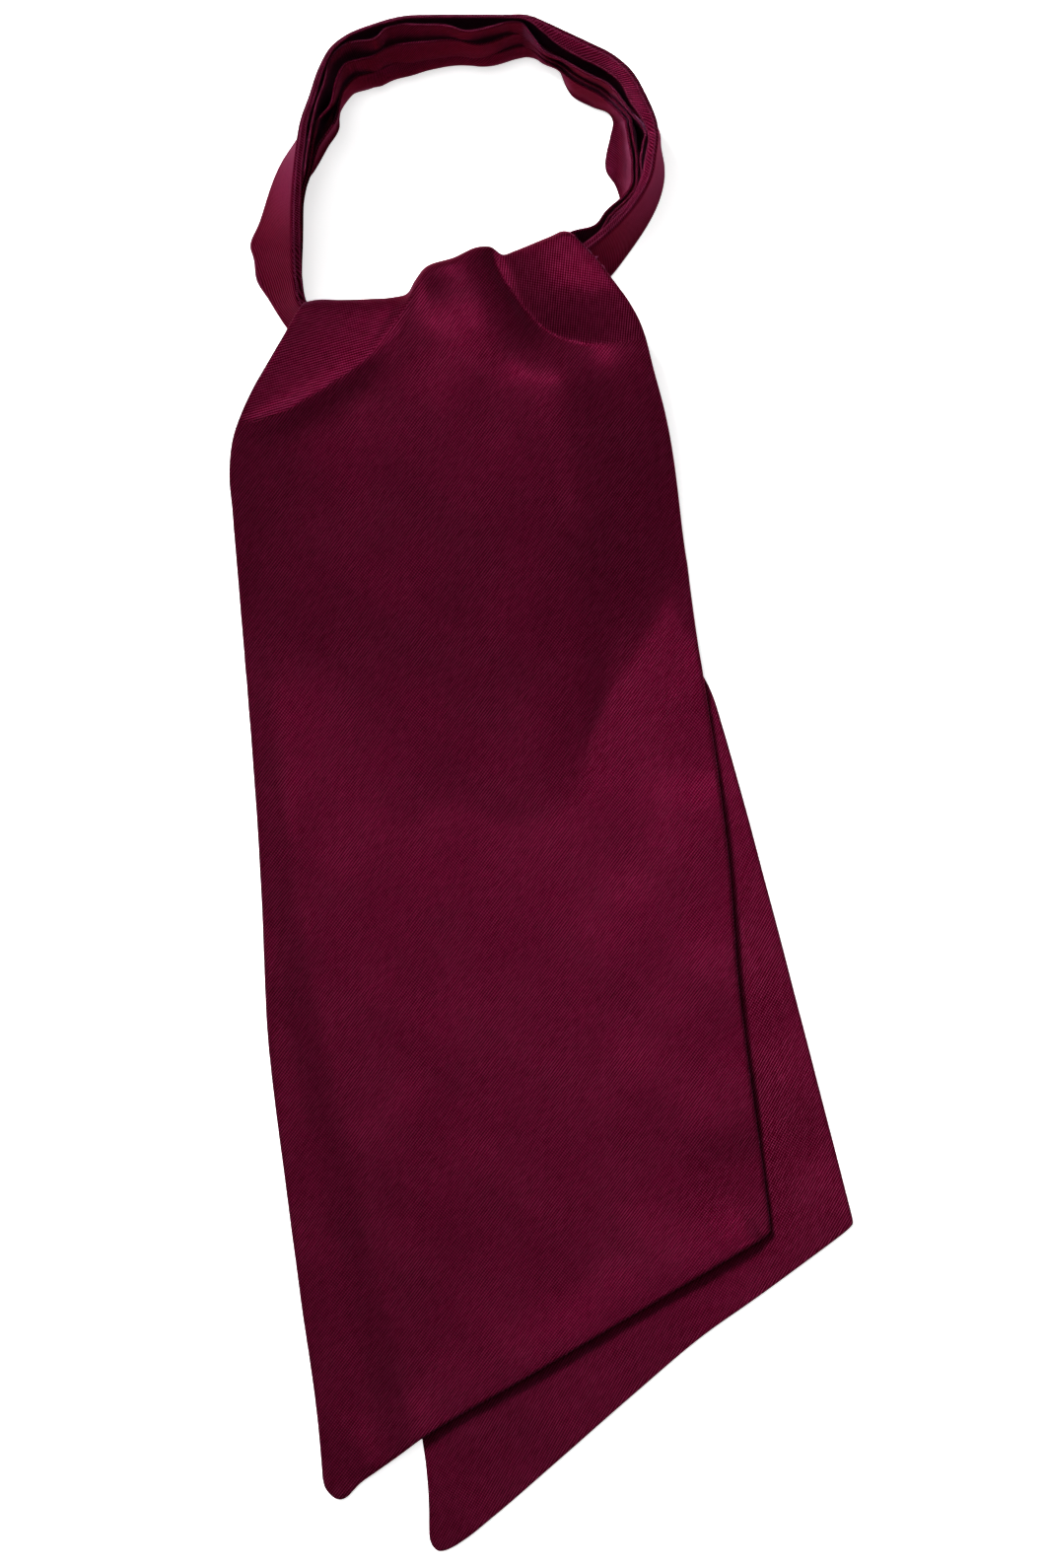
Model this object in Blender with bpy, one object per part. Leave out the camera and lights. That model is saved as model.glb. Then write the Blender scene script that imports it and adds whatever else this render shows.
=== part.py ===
"""Silk cravat, tied once and laid out on a flat surface.

Lengths are in millimetres until a mesh is written. X runs to the right, Y towards the neck
loop and Z up from the surface. Outlines are given as they look from EYE_HEIGHT straight over
EYE, so that a point which lies high stands a little nearer to EYE than it looks.
"""

import math

import bmesh
import bpy
import numpy as np

NAME = "silk_cravat"
MM = 0.001

# Where the cravat is looked at from
EYE = (-6.0, -1.0)
EYE_HEIGHT = 1400.0
# The middle of the finished cravat, which is put over the origin
MIDDLE = (-0.25, -2.37)

# Thickness of the cloth and the gap between pieces that touch
BLADE_WALL = 2.4
BAND_WALL = 1.0
GAP = 0.38

# Front blade, as seen: its two long edges from the knot down to the slanting end
FRONT_LEFT = np.array([
    # x, y
    (-77.2, 153.6),
    (-81.5, 145.7),
    (-86.6, 136.9),
    (-93.8, 124.2),
    (-98.9, 111.6),
    (-100.5, 98.9),
    (-99.5, 86.2),
    (-94.8, 29.3),
    (-90.3, -34.0),
    (-87.8, -84.7),
    (-82.4, -129.0),
    (-77.4, -166.9),
    (-72.1, -204.9),
    (-70.4, -224.0),
])
FRONT_RIGHT = np.array([
    # x, y
    (9.7, 176.4),
    (15.7, 170.4),
    (22.3, 162.2),
    (31.5, 147.9),
    (36.6, 130.5),
    (40.0, 117.9),
    (46.4, 73.6),
    (51.7, 35.6),
    (56.8, 1.7),
    (60.3, -26.4),
    (63.4, -65.0),
    (70.4, -118.2),
    (73.9, -145.4),
])
FRONT_END = np.array([
    # x, y
    (-70.4, -224.0),
    (-69.8, -226.4),
    (-68.2, -228.8),
    (-66.2, -230.3),
    (-64.2, -230.6),
    (-62.3, -229.6),
    (-60.6, -227.8),
    (-58.6, -225.7),
    (-53.5, -222.0),
    (-39.2, -211.6),
    (-6.0, -192.2),
    (73.9, -145.4),
])
# Its top, where the cloth rolls over the knot in a low left fold, a middle fold and a right
# fold: the outline, the height of the roll, how far down the cloth behind it hangs, and how
# far down the blade the roll's height dies away
FRONT_TOP = np.array([
    # x, y, crest, back, fall
    (-77.2, 153.6, 22.0, 19.4, 58.0),
    (-72.6, 154.6, 21.5, 17.0, 62.0),
    (-64.7, 154.6, 20.5, 8.0, 66.0),
    (-55.2, 154.9, 20.0, 3.0, 70.0),
    (-47.3, 155.5, 21.0, 2.5, 76.0),
    (-43.5, 156.5, 23.0, 2.5, 84.0),
    (-40.7, 160.9, 25.0, 2.5, 90.0),
    (-37.8, 164.7, 26.0, 2.5, 96.0),
    (-28.3, 168.2, 27.0, 2.5, 104.0),
    (-19.8, 171.7, 27.0, 2.5, 112.0),
    (-16.6, 171.7, 26.0, 2.5, 114.0),
    (-12.2, 169.1, 23.0, 2.5, 116.0),
    (-9.3, 170.1, 24.0, 3.0, 118.0),
    (-1.4, 173.3, 26.0, 9.0, 120.0),
    (3.0, 175.1, 26.5, 17.0, 120.0),
    (6.8, 176.7, 26.5, 21.0, 120.0),
    (9.7, 176.4, 26.0, 22.5, 118.0),
])
# The roll's radius, and the rows of cloth that hang behind it, lowest row first
ROLL = 5.0
BEHIND = np.array([
    # share of the drop, tucked in
    (1.0, 2.5),
    (0.75, 0.8),
    (0.4, 0.0),
])
LEAST_DROP = 1.5
# How far down the blade its rows still bend to the top's outline
TOP_REACH = 95.0
# How far each blade's square corner is drawn in, and which way
CORNER_SOFT = 0.8
FRONT_CORNER_IN = (-0.74, 0.67)
REAR_CORNER_IN = (-0.84, 0.54)

# The front blade's folds: how high each stands or how deep it goes, how far it spreads to
# the left and to the right of its line as the line runs, and the line. They start with this
# share of their height at the top of the roll.
FOLD_START = 0.35
FRONT_FOLDS = [
    # name, rise, spread left, spread right, line
    ("left ridge", 4.0, 11.0, 5.0,
     [(-42, 160), (-51.7, 143.8), (-59.3, 134.3), (-67.9, 128.6), (-82.1, 121), (-99, 114)]),
    ("left valley", -2.4, 5.0, 5.5,
     [(-50, 160), (-58, 145), (-65, 138), (-73, 133.5), (-86, 128), (-98, 124)]),
    ("middle fold", 2.6, 13.0, 13.0,
     [(-29, 172), (-30, 150), (-29, 125), (-26, 95)]),
    ("right valley", -5.6, 5.5, 6.0,
     [(-14, 174), (-12, 160), (-6.5, 149.5), (3, 143.5), (14, 141.2), (36, 143)]),
    ("right fold", 2.6, 13.0, 13.0,
     [(-2, 174), (4, 160), (12, 156), (24, 156)]),
    ("right ridge", 1.5, 6.0, 9.0,
     [(-13, 148), (-3, 139), (8, 135), (20, 135), (38, 138)]),
]

# Rear blade, as seen, with its hidden edges drawn on to the knot
REAR_LEFT = np.array([
    # x, y
    (-57.4, 126.1),
    (-66.0, 104.0),
    (-77.0, 66.0),
    (-82.0, 30.0),
    (-77.5, -15.0),
    (-69.9, -71.0),
    (-57.0, -130.0),
    (-44.0, -185.0),
    (-38.4, -211.0),
    (-36.4, -230.0),
    (-36.2, -241.5),
])
REAR_RIGHT = np.array([
    # x, y
    (0.0, 142.1),
    (13.0, 110.0),
    (28.0, 76.0),
    (44.0, 46.0),
    (54.3, 29.3),
    (58.4, 16.6),
    (63.8, -2.4),
    (72.3, -34.0),
    (88.8, -97.3),
    (100.5, -142.6),
])
REAR_END = np.array([
    # x, y
    (-36.2, -241.5),
    (-35.8, -243.9),
    (-34.8, -245.8),
    (-33.3, -247.0),
    (-31.5, -247.0),
    (-29.1, -246.1),
    (-25.3, -243.8),
    (-15.5, -236.0),
    (3.5, -219.6),
    (28.8, -197.4),
    (54.1, -176.2),
    (66.8, -167.3),
    (100.5, -142.6),
])

# How far outside the rear blade the cloth above it starts to slope, and comes down to the
# surface
REAR_LEDGE = 1.0
REAR_SLOPE = 14.0

# The knot's hidden turns, as one rounded lump of three layers above the rear blade's end
KNOT_AT = (-28.0, 145.6)
KNOT_HALF_LENGTH = 27.0
KNOT_HALF_WIDTH = 10.0
KNOT_TURN = 17.0
KNOT_HEIGHT = 21.0
KNOT_LAYERS = 3
KNOT_LAYER_BULGE = 1.3
KNOT_CROWN = 0.12
KNOT_SIDES = 28
KNOT_CLEAR = 5.0

# Neckband, as seen: where the outer ply's top edge runs, clockwise from the left end, its
# height, the way into the loop in degrees, how far outside the edge its foot stands, how far
# inside it the inner ply's foot stands, and how far the edge is rolled over inwards
LOOP = np.array([
    # x, y, height, facing, outer foot, inner foot, lip
    (-62.5, 139.0, 10.0, 42.0, 7.0, 1.5, 0.0),
    (-72.0, 146.5, 12.5, 36.0, 8.0, 0.5, 0.0),
    (-78.6, 155.9, 16.8, 18.0, 9.0, -1.5, 0.0),
    (-80.3, 167.2, 24.0, 4.0, 12.6, -5.0, 0.0),
    (-80.6, 173.0, 27.0, 0.0, 12.6, -5.0, 0.0),
    (-80.7, 179.9, 29.0, 0.0, 10.4, -3.0, 0.0),
    (-80.7, 192.6, 31.0, 0.0, 6.0, 3.5, 0.0),
    (-79.9, 203.3, 31.0, -4.0, 0.7, 10.0, 0.0),
    (-77.4, 212.2, 31.0, -11.0, -3.5, 12.6, 0.0),
    (-75.0, 220.1, 31.0, -16.0, -4.5, 11.6, 0.0),
    (-71.8, 229.3, 31.0, -34.0, -6.5, 13.6, 0.0),
    (-68.3, 235.8, 31.0, -50.0, -9.5, 17.0, 0.0),
    (-62.8, 240.2, 31.0, -62.0, -11.0, 19.0, 0.0),
    (-55.0, 243.3, 31.0, -74.0, -11.5, 19.2, 0.0),
    (-45.4, 246.0, 31.0, -82.0, -11.0, 18.8, 0.0),
    (-34.7, 246.5, 31.0, -90.0, -9.6, 17.0, 0.0),
    (-23.6, 246.5, 31.0, -90.0, -8.0, 15.4, 0.0),
    (-12.5, 246.4, 31.0, -90.0, -7.0, 14.6, 0.0),
    (-3.0, 246.2, 31.0, -98.0, -6.0, 13.6, 1.0),
    (6.0, 242.3, 31.0, -112.0, -5.0, 12.6, 4.0),
    (15.0, 237.9, 31.0, -124.0, -6.5, 15.2, 5.2),
    (22.9, 233.8, 31.0, -128.0, -8.5, 18.6, 5.0),
    (29.6, 228.3, 31.0, -138.0, -8.0, 17.6, 5.4),
    (33.7, 220.4, 31.0, -155.0, -4.5, 13.0, 4.0),
    (37.3, 210.9, 31.0, -172.0, -0.6, 15.0, 1.0),
    (36.9, 203.3, 31.0, -182.0, 1.4, 15.8, 0.0),
    (35.6, 194.8, 30.5, -190.0, 3.9, 14.6, 0.0),
    (32.8, 188.4, 29.5, -202.0, 6.0, 9.6, 0.0),
    (28.0, 182.4, 27.0, -218.0, 7.2, 3.2, 0.0),
    (21.0, 176.1, 22.0, -226.0, 10.0, 0.0, 0.0),
    (14.0, 171.4, 17.8, -230.0, 12.0, 1.0, 0.0),
    (8.0, 166.8, 14.2, -230.0, 10.0, 2.0, 0.0),
    (2.0, 161.5, 11.2, -230.0, 7.0, 0.0, 0.0),
])
# The pleats' folded edges at places along the loop: how far inside the outer ply's edge each
# stands and how far below it, for pleat 1, pleat 2 and the inner ply
PLEATS = np.array([
    # place, in 1, in 2, in 3, down 1, down 2, down 3
    (0.000, 1.8, 3.4, 5.0, 0.6, 1.1, 1.6),
    (0.180, 1.7, 3.3, 4.7, 0.5, 0.9, 5.0),
    (0.255, 1.9, 3.6, 5.8, 1.0, 2.6, 6.0),
    (0.310, 2.2, 5.8, 8.6, 1.4, 6.0, 11.0),
    (0.375, 3.6, 9.6, 14.6, 2.4, 10.5, 18.5),
    (0.460, 3.0, 8.8, 12.6, 2.4, 10.5, 18.5),
    (0.530, 3.6, 7.8, 11.0, 2.4, 10.5, 18.5),
    (0.585, 3.0, 7.6, 10.6, 2.4, 10.0, 17.0),
    (0.650, 7.2, 9.2, 11.2, 3.6, 9.0, 14.0),
    (0.720, 7.4, 9.4, 11.4, 1.0, 5.0, 10.0),
    (0.780, 3.8, 6.6, 8.9, 0.8, 3.0, 7.0),
    (0.840, 2.4, 4.2, 6.0, 0.6, 1.6, 4.0),
    (0.890, 1.8, 3.4, 5.0, 0.6, 1.1, 2.0),
    (0.940, 1.8, 3.4, 7.4, 0.6, 1.1, 2.5),
    (0.965, 1.8, 3.4, 8.6, 0.6, 1.1, 3.0),
    (1.000, 1.8, 3.4, 5.4, 0.6, 1.1, 2.0),
])
PLY_NAMES = ("neckband_outer", "neckband_pleat_1", "neckband_pleat_2", "neckband_inner")
# A ply's section: where its points stand between foot and edge, how far it bows outwards,
# its foot's height in walls, how far its folded edge turns over and how steeply the lip falls
BAND_RISE = (0.0, 0.25, 0.5, 0.75, 0.93)
BAND_BOW = 0.8
BAND_TOE = 0.3
EDGE_TURN = 0.1
LIP_TURN = 0.2
LIP_FALL = 0.22

# How finely the cloth is divided: the front blade's rows are close in its folds and open
# out down the blade
FRONT_LENGTH = 390.0
FRONT_COLUMNS = 30
FOLD_STEP = 4.0
FOLD_REACH = 60.0
STEP_GROWTH = 1.14
BODY_STEP = 17.0
END_STEPS = (38.0, 24.0, 14.0, 8.0, 4.0, 1.8, 0.0)
REAR_ROWS = 20
REAR_COLUMNS = 15
REAR_CROWDING = 1.9
TIP_CROWDING = 0.5
END_FADE = 30
BAND_STATIONS = 48
SPAN_STEPS = 12
FOLD_LINE_STEPS = 6
ROLL_ROWS = (0.0, 0.2, 0.55, 1.0)
OUTLINE_ROWS = 40
OUTLINE_COLUMNS = 20

SILK = (0.085, 0.004, 0.02)
SILK_DARK = (0.05, 0.002, 0.012)


def smooth_curve(points, shares):
    """Points at the given shares of the length of a smooth curve through a table's rows."""
    steps = np.linalg.norm(np.diff(points[:, :2], axis=0), axis=1)
    knots = np.concatenate([[0.0], np.cumsum(steps)])
    slopes = np.gradient(points, knots, axis=0)
    fine = np.unique(np.concatenate(
        [np.linspace(a, b, SPAN_STEPS + 1) for a, b in zip(knots, knots[1:])]))
    span = np.clip(np.searchsorted(knots, fine, side="right") - 1, 0, len(knots) - 2)
    width = (knots[span + 1] - knots[span])[:, None]
    t = (fine[:, None] - knots[span][:, None]) / width
    curve = (
        (2 * t**3 - 3 * t**2 + 1) * points[span]
        + (t**3 - 2 * t**2 + t) * width * slopes[span]
        + (3 * t**2 - 2 * t**3) * points[span + 1]
        + (t**3 - t**2) * width * slopes[span + 1]
    )
    length = np.concatenate(
        [[0.0], np.cumsum(np.linalg.norm(np.diff(curve[:, :2], axis=0), axis=1))])
    at = np.asarray(shares) * length[-1]
    return np.stack([np.interp(at, length, column) for column in curve.T], axis=-1)


def smooth_step(t):
    """Rises from 0 to 1 with level ends."""
    t = np.clip(t, 0.0, 1.0)
    return t * t * (3 - 2 * t)


def brought_in(plan, height):
    """Plan points as seen, moved to where they stand at their height."""
    eye = np.array(EYE)
    return eye + (plan - eye) * (1 - np.asarray(height) / EYE_HEIGHT)[..., None]


def unit(vectors):
    """Vectors of length 1."""
    size = np.linalg.norm(vectors, axis=-1, keepdims=True)
    return vectors / np.maximum(size, 1e-9)


def softened(plan, corner, inward, reach):
    """Draws a sharp corner of the outline in to a round one."""
    depth = (plan - corner) @ inward
    return plan + (reach * np.exp(-np.maximum(depth, 0) / reach))[..., None] * inward


def line_distance(plan, line):
    """Distance from each plan point to a line of points, and 1 to its left or -1 to its right."""
    nearest = np.full(plan.shape[:-1], np.inf)
    side = np.ones(plan.shape[:-1])
    for a, b in zip(line, line[1:]):
        run = b - a
        t = np.clip((plan - a) @ run / (run @ run), 0, 1)
        off = plan - (a + t[..., None] * run)
        far = np.linalg.norm(off, axis=-1)
        closer = far < nearest
        turn = run[0] * off[..., 1] - run[1] * off[..., 0]
        side = np.where(closer, np.sign(turn + 1e-12), side)
        nearest = np.where(closer, far, nearest)
    return nearest, side


def fold_height(plan, folds):
    """Height that the folds add at each plan point."""
    total = np.zeros(plan.shape[:-1])
    for _, rise, left, right, line in folds:
        path = smooth_curve(np.array(line, float), np.linspace(0, 1, FOLD_LINE_STEPS * len(line)))
        far, side = line_distance(plan, path)
        spread = np.where(side > 0, left, right)
        total += rise * np.exp(-(far / spread) ** 2)
    return total


def edge_grid(left, right, last, rows, columns):
    """Plan points of a blade: rows between its two long edges, straight until they near its
    end, where they take the end's own outline and crowd towards its long point."""
    across = np.linspace(0, 1, columns)
    crowding = TIP_CROWDING * (rows**8)[:, None] * across * (1 - across)
    start = smooth_curve(left, rows)
    end = smooth_curve(right, rows)
    grid = start[:, None] + (end - start)[:, None] * (across - crowding)[..., None]
    outline = smooth_curve(last, across - TIP_CROWDING * across * (1 - across))
    return grid + (rows**END_FADE)[:, None, None] * (outline - grid[-1])


def rear_plan(row_count, column_count):
    """Plan points of the rear blade, as seen, from the knot down to its slanting end."""
    rows = 1 - (1 - np.linspace(0, 1, row_count)) ** REAR_CROWDING
    grid = edge_grid(REAR_LEFT, REAR_RIGHT, REAR_END, rows, column_count)
    return softened(grid, REAR_RIGHT[-1], unit(np.array(REAR_CORNER_IN)), CORNER_SOFT)


def rear_outline():
    """The rear blade's outline, as seen."""
    grid = rear_plan(OUTLINE_ROWS, OUTLINE_COLUMNS)
    return np.concatenate([grid[:-1, 0], grid[-1, :-1], grid[:0:-1, -1], grid[0, ::-1]])


def over_rear(plan):
    """1 over the rear blade, falling to 0 where the cloth beside it reaches the surface."""
    outline = rear_outline()
    far, _ = line_distance(plan, outline)
    ahead = np.roll(outline, -1, axis=0)
    crossings = np.zeros(plan.shape[:-1], int)
    for a, b in zip(outline, ahead):
        spans = (a[1] > plan[..., 1]) != (b[1] > plan[..., 1])
        rise = b[1] - a[1] if b[1] != a[1] else 1e-9
        crossings += spans & (plan[..., 0] < a[0] + (plan[..., 1] - a[1]) / rise * (b[0] - a[0]))
    outside = np.where(crossings % 2 == 1, 0.0, far)
    return 1 - smooth_step((outside - REAR_LEDGE) / REAR_SLOPE)


def front_rows():
    """Shares of the front blade's length at which its rows lie."""
    places = [share * ROLL for share in ROLL_ROWS]
    step = FOLD_STEP
    while places[-1] + step < FRONT_LENGTH - END_STEPS[0]:
        if places[-1] > FOLD_REACH:
            step = min(step * STEP_GROWTH, BODY_STEP)
        places.append(places[-1] + step)
    places += [FRONT_LENGTH - left for left in END_STEPS]
    return np.array(places) / FRONT_LENGTH


def front_grid(rows, column_count):
    """The front blade's outer surface, as rows of points from behind the roll to the end."""
    across = np.linspace(0, 1, column_count)
    top = smooth_curve(FRONT_TOP, across)
    crest, back, fall = top[:, 2], top[:, 3], top[:, 4]
    plan = edge_grid(FRONT_LEFT, FRONT_RIGHT, FRONT_END, rows, column_count)
    lift = top[:, :2] - plan[0]
    fade = np.clip(1.0 - rows * FRONT_LENGTH / TOP_REACH, 0, 1) ** 2
    plan += fade[:, None, None] * lift[None]
    plan = softened(plan, FRONT_RIGHT[-1], unit(np.array(FRONT_CORNER_IN)), CORNER_SOFT)

    down = np.linalg.norm(np.diff(plan, axis=0), axis=-1)
    down = np.concatenate([np.zeros((1, column_count)), np.cumsum(down, axis=0)])
    base = BLADE_WALL + (BLADE_WALL + GAP) * over_rear(plan)
    level = base + (crest - base) * (1 - smooth_step(down / fall))
    level += fold_height(plan, FRONT_FOLDS) * smooth_step(down / ROLL + FOLD_START)
    inside = np.clip(ROLL - down, 0, ROLL)
    level -= ROLL - np.sqrt(ROLL**2 - inside**2)
    level = np.maximum(level, base)
    body = np.concatenate([brought_in(plan, level), level[..., None]], axis=-1)

    inward = unit(plan[len(ROLL_ROWS) - 1] - plan[0])
    behind = []
    for share, tucked in BEHIND:
        height = level[0] + (np.minimum(back, level[0] - LEAST_DROP) - level[0]) * share
        place = brought_in(plan[0] + inward * tucked, height)
        behind.append(np.concatenate([place, height[:, None]], axis=-1)[None])
    return np.concatenate(behind + [body])


def grid_normals(grid):
    """Unit normals of a grid of points, up where it lies flat."""
    return unit(np.cross(np.gradient(grid, axis=0), np.gradient(grid, axis=1)))


def rounded_wall(outer, inner):
    """Vertices and faces of a closed wall between two grids, with a rounded edge all round."""
    row_count, column_count = outer.shape[:2]
    middle = (outer + inner) / 2
    half = np.linalg.norm(outer - inner, axis=-1, keepdims=True) / 2
    border = (
        [(0, j) for j in range(column_count)]
        + [(i, column_count - 1) for i in range(1, row_count)]
        + [(row_count - 1, j) for j in range(column_count - 2, -1, -1)]
        + [(i, 0) for i in range(row_count - 2, 0, -1)]
    )
    outer, inner = outer.copy(), inner.copy()
    rim = []
    for i, j in border:
        beside = middle[min(max(i, 1), row_count - 2), min(max(j, 1), column_count - 2)]
        step = unit(beside - middle[i, j]) * half[i, j]
        rim.append(middle[i, j])
        outer[i, j] += step
        inner[i, j] += step
    sheet = row_count * column_count
    points = np.concatenate([outer.reshape(-1, 3), inner.reshape(-1, 3), np.array(rim)])
    faces = []
    for i in range(row_count - 1):
        for j in range(column_count - 1):
            a = i * column_count + j
            faces.append((a, a + column_count, a + column_count + 1, a + 1))
            faces.append(tuple(sheet + k for k in (a, a + 1, a + column_count + 1, a + column_count)))
    for k in range(len(border)):
        here, ahead = border[k], border[(k + 1) % len(border)]
        a = here[0] * column_count + here[1]
        b = ahead[0] * column_count + ahead[1]
        c = 2 * sheet + k
        d = 2 * sheet + (k + 1) % len(border)
        faces.append((a, b, d, c))
        faces.append((c, d, sheet + b, sheet + a))
    return points, faces


def band_sections(stations):
    """For each ply, the mid-line of its section at each station, from its foot to its edge, as
    distances into the loop from the outer ply's edge and heights."""
    shares = np.linspace(0, 1, stations)
    loop = smooth_curve(LOOP, shares)
    knots = PLEATS[:, 0]
    inset = [np.zeros(stations)] + [np.interp(shares, knots, PLEATS[:, k]) for k in (1, 2, 3)]
    lower = [np.zeros(stations)] + [np.interp(shares, knots, PLEATS[:, k]) for k in (4, 5, 6)]
    rim, rim_height, facing = loop[:, :2], loop[:, 2], np.radians(loop[:, 3])
    inwards = np.stack([np.cos(facing), np.sin(facing)], axis=-1)
    outer_foot, inner_foot, lip = -loop[:, 4], loop[:, 5], np.maximum(loop[:, 6], 0)
    plies = []
    for ply in range(4):
        foot = outer_foot + (inner_foot - outer_foot) * ply / 3
        edge = inset[ply]
        top = rim_height - lower[ply] - BAND_WALL / 2
        line = []
        for t in BAND_RISE:
            bow = BAND_BOW * math.sin(math.pi * t)
            line.append((foot + (edge - foot) * t - bow, BAND_WALL * BAND_TOE + top * t))
        line.append((edge + EDGE_TURN, top))
        if ply == 0:
            line.append((edge + LIP_TURN + lip, top - LIP_FALL * (LIP_TURN + lip)))
        plies.append((rim, inwards, [np.stack(p, axis=-1) for p in line]))
    return plies


def ring_round(line):
    """Closed section of a strip of cloth round its mid-line, with rounded ends."""
    along = unit(np.gradient(line, axis=0))
    across = np.stack([-along[:, 1], along[:, 0]], axis=-1) * BAND_WALL / 2
    nose = line[-1] + along[-1] * BAND_WALL / 2
    toe = line[0] - along[0] * BAND_WALL / 2
    ring = np.concatenate([[toe], line - across, [nose], (line + across)[::-1]])
    ring[:, 1] = np.maximum(ring[:, 1], 0)
    return ring


def tube(rings):
    """Vertices and faces of a loft through closed rings, with flat ends."""
    count = len(rings[0])
    faces = [tuple(range(count)), tuple(range((len(rings) - 1) * count, len(rings) * count))[::-1]]
    for i in range(len(rings) - 1):
        for j in range(count):
            a, b = i * count + j, i * count + (j + 1) % count
            faces.append((a, b, b + count, a + count))
    return np.concatenate(rings), faces


def band_ply(rim, inwards, line):
    """One ply of the neckband."""
    rings = []
    for k in range(len(rim)):
        ring = ring_round(np.array([p[k] for p in line]))
        plan = brought_in(rim[k] + ring[:, :1] * inwards[k], ring[:, 1])
        rings.append(np.concatenate([plan, ring[:, 1:]], axis=-1))
    return tube(rings)


def knot_layers(cover):
    """The knot's hidden turns: a loft of rings that bulge once for each layer, under a cover."""
    cover = cover.reshape(-1, 3)
    angles = np.linspace(0, 2 * math.pi, KNOT_SIDES, endpoint=False)
    turn = math.radians(KNOT_TURN)
    rings = []
    for share in np.linspace(0, 1, 4 * KNOT_LAYERS + 1):
        layer = (share * KNOT_LAYERS) % 1.0
        bulge = KNOT_LAYER_BULGE * math.sin(math.pi * layer)
        shrink = math.sqrt(max(1 - share**3, KNOT_CROWN))
        x = (KNOT_HALF_LENGTH * shrink + bulge) * np.cos(angles)
        y = (KNOT_HALF_WIDTH * shrink + bulge) * np.sin(angles)
        plan = np.stack([
            KNOT_AT[0] + x * math.cos(turn) - y * math.sin(turn),
            KNOT_AT[1] + x * math.sin(turn) + y * math.cos(turn),
        ], axis=-1)
        near = np.linalg.norm(plan[:, None] - cover[None, :, :2], axis=-1) < KNOT_CLEAR
        room = np.where(near, cover[None, :, 2], np.inf).min(axis=1) - GAP - BLADE_WALL
        height = np.minimum(KNOT_HEIGHT, room) * share
        rings.append(np.concatenate([plan, height[:, None]], axis=-1))
    return tube(rings)


def silk(name, colour):
    """Satin silk."""
    material = bpy.data.materials.new(name)
    material.use_nodes = True
    shader = material.node_tree.nodes["Principled BSDF"]
    shader.inputs["Base Color"].default_value = (*colour, 1)
    shader.inputs["Roughness"].default_value = 0.5
    shader.inputs["Metallic"].default_value = 0
    return material


def add_piece(collection, root, name, shape, colour):
    """A named object from vertices in millimetres and faces."""
    points, faces = shape
    points = (points - np.array([*MIDDLE, 0.0])) * MM
    mesh = bpy.data.meshes.new(name)
    mesh.from_pydata(points.tolist(), [], faces)
    cage = bmesh.new()
    cage.from_mesh(mesh)
    bmesh.ops.recalc_face_normals(cage, faces=cage.faces)
    cage.to_mesh(mesh)
    cage.free()
    mesh.shade_smooth()
    mesh.materials.append(silk(name + "_silk", colour))
    piece = bpy.data.objects.new(name, mesh)
    piece.parent = root
    collection.objects.link(piece)
    return piece


def rear_shape():
    """The rear blade, flat underneath."""
    plan = rear_plan(REAR_ROWS, REAR_COLUMNS)
    outer = np.concatenate(
        [brought_in(plan, np.full(plan.shape[:2], BLADE_WALL)),
         np.full((*plan.shape[:2], 1), BLADE_WALL)], axis=-1)
    inner = outer.copy()
    inner[..., 2] = 0
    return rounded_wall(outer, inner)


def front_shape():
    """The front blade, from the roll over the knot to its slanting end."""
    outer = front_grid(front_rows(), FRONT_COLUMNS)
    inner = outer - grid_normals(outer) * BLADE_WALL
    floor = (BLADE_WALL + GAP) * over_rear(inner[..., :2])
    inner[..., 2] = np.maximum(inner[..., 2], floor)
    return rounded_wall(outer, inner)


def main():
    """Builds the cravat."""
    for thing in list(bpy.data.objects):
        bpy.data.objects.remove(thing, do_unlink=True)
    collection = bpy.data.collections.new(NAME)
    bpy.context.scene.collection.children.link(collection)
    root = bpy.data.objects.new(NAME, None)
    collection.objects.link(root)
    add_piece(collection, root, "rear_blade", rear_shape(), SILK)
    add_piece(collection, root, "front_blade", front_shape(), SILK)
    cover = front_grid(front_rows(), FRONT_COLUMNS)[len(BEHIND):]
    add_piece(collection, root, "knot", knot_layers(cover), SILK_DARK)
    for name, (rim, inwards, line) in zip(PLY_NAMES, band_sections(BAND_STATIONS)):
        add_piece(collection, root, name, band_ply(rim, inwards, line), SILK)


main()
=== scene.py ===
"""Silk cravat, tied once and laid out on a flat surface: its cloth, its light and its camera.

Lengths are in millimetres until a mesh is written. X runs to the right, Y towards the neck
loop and Z up from the surface. Outlines are given as they look from EYE_HEIGHT straight over
EYE, so that a point which lies high stands a little nearer to EYE than it looks.
"""

import math

import bpy
import numpy as np
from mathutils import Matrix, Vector


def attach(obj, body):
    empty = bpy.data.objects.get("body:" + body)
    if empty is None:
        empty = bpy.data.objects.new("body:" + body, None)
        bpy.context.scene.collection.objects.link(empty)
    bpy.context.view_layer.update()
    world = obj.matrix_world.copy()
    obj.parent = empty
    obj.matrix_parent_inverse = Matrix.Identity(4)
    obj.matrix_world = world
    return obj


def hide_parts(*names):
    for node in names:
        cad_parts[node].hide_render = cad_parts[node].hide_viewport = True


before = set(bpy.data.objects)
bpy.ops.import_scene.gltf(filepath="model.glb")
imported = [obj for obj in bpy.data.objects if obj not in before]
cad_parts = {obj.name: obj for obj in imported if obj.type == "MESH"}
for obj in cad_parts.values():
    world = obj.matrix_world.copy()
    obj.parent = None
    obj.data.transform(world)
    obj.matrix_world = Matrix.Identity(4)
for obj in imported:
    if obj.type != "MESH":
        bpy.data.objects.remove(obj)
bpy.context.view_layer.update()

MM = 0.001

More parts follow.
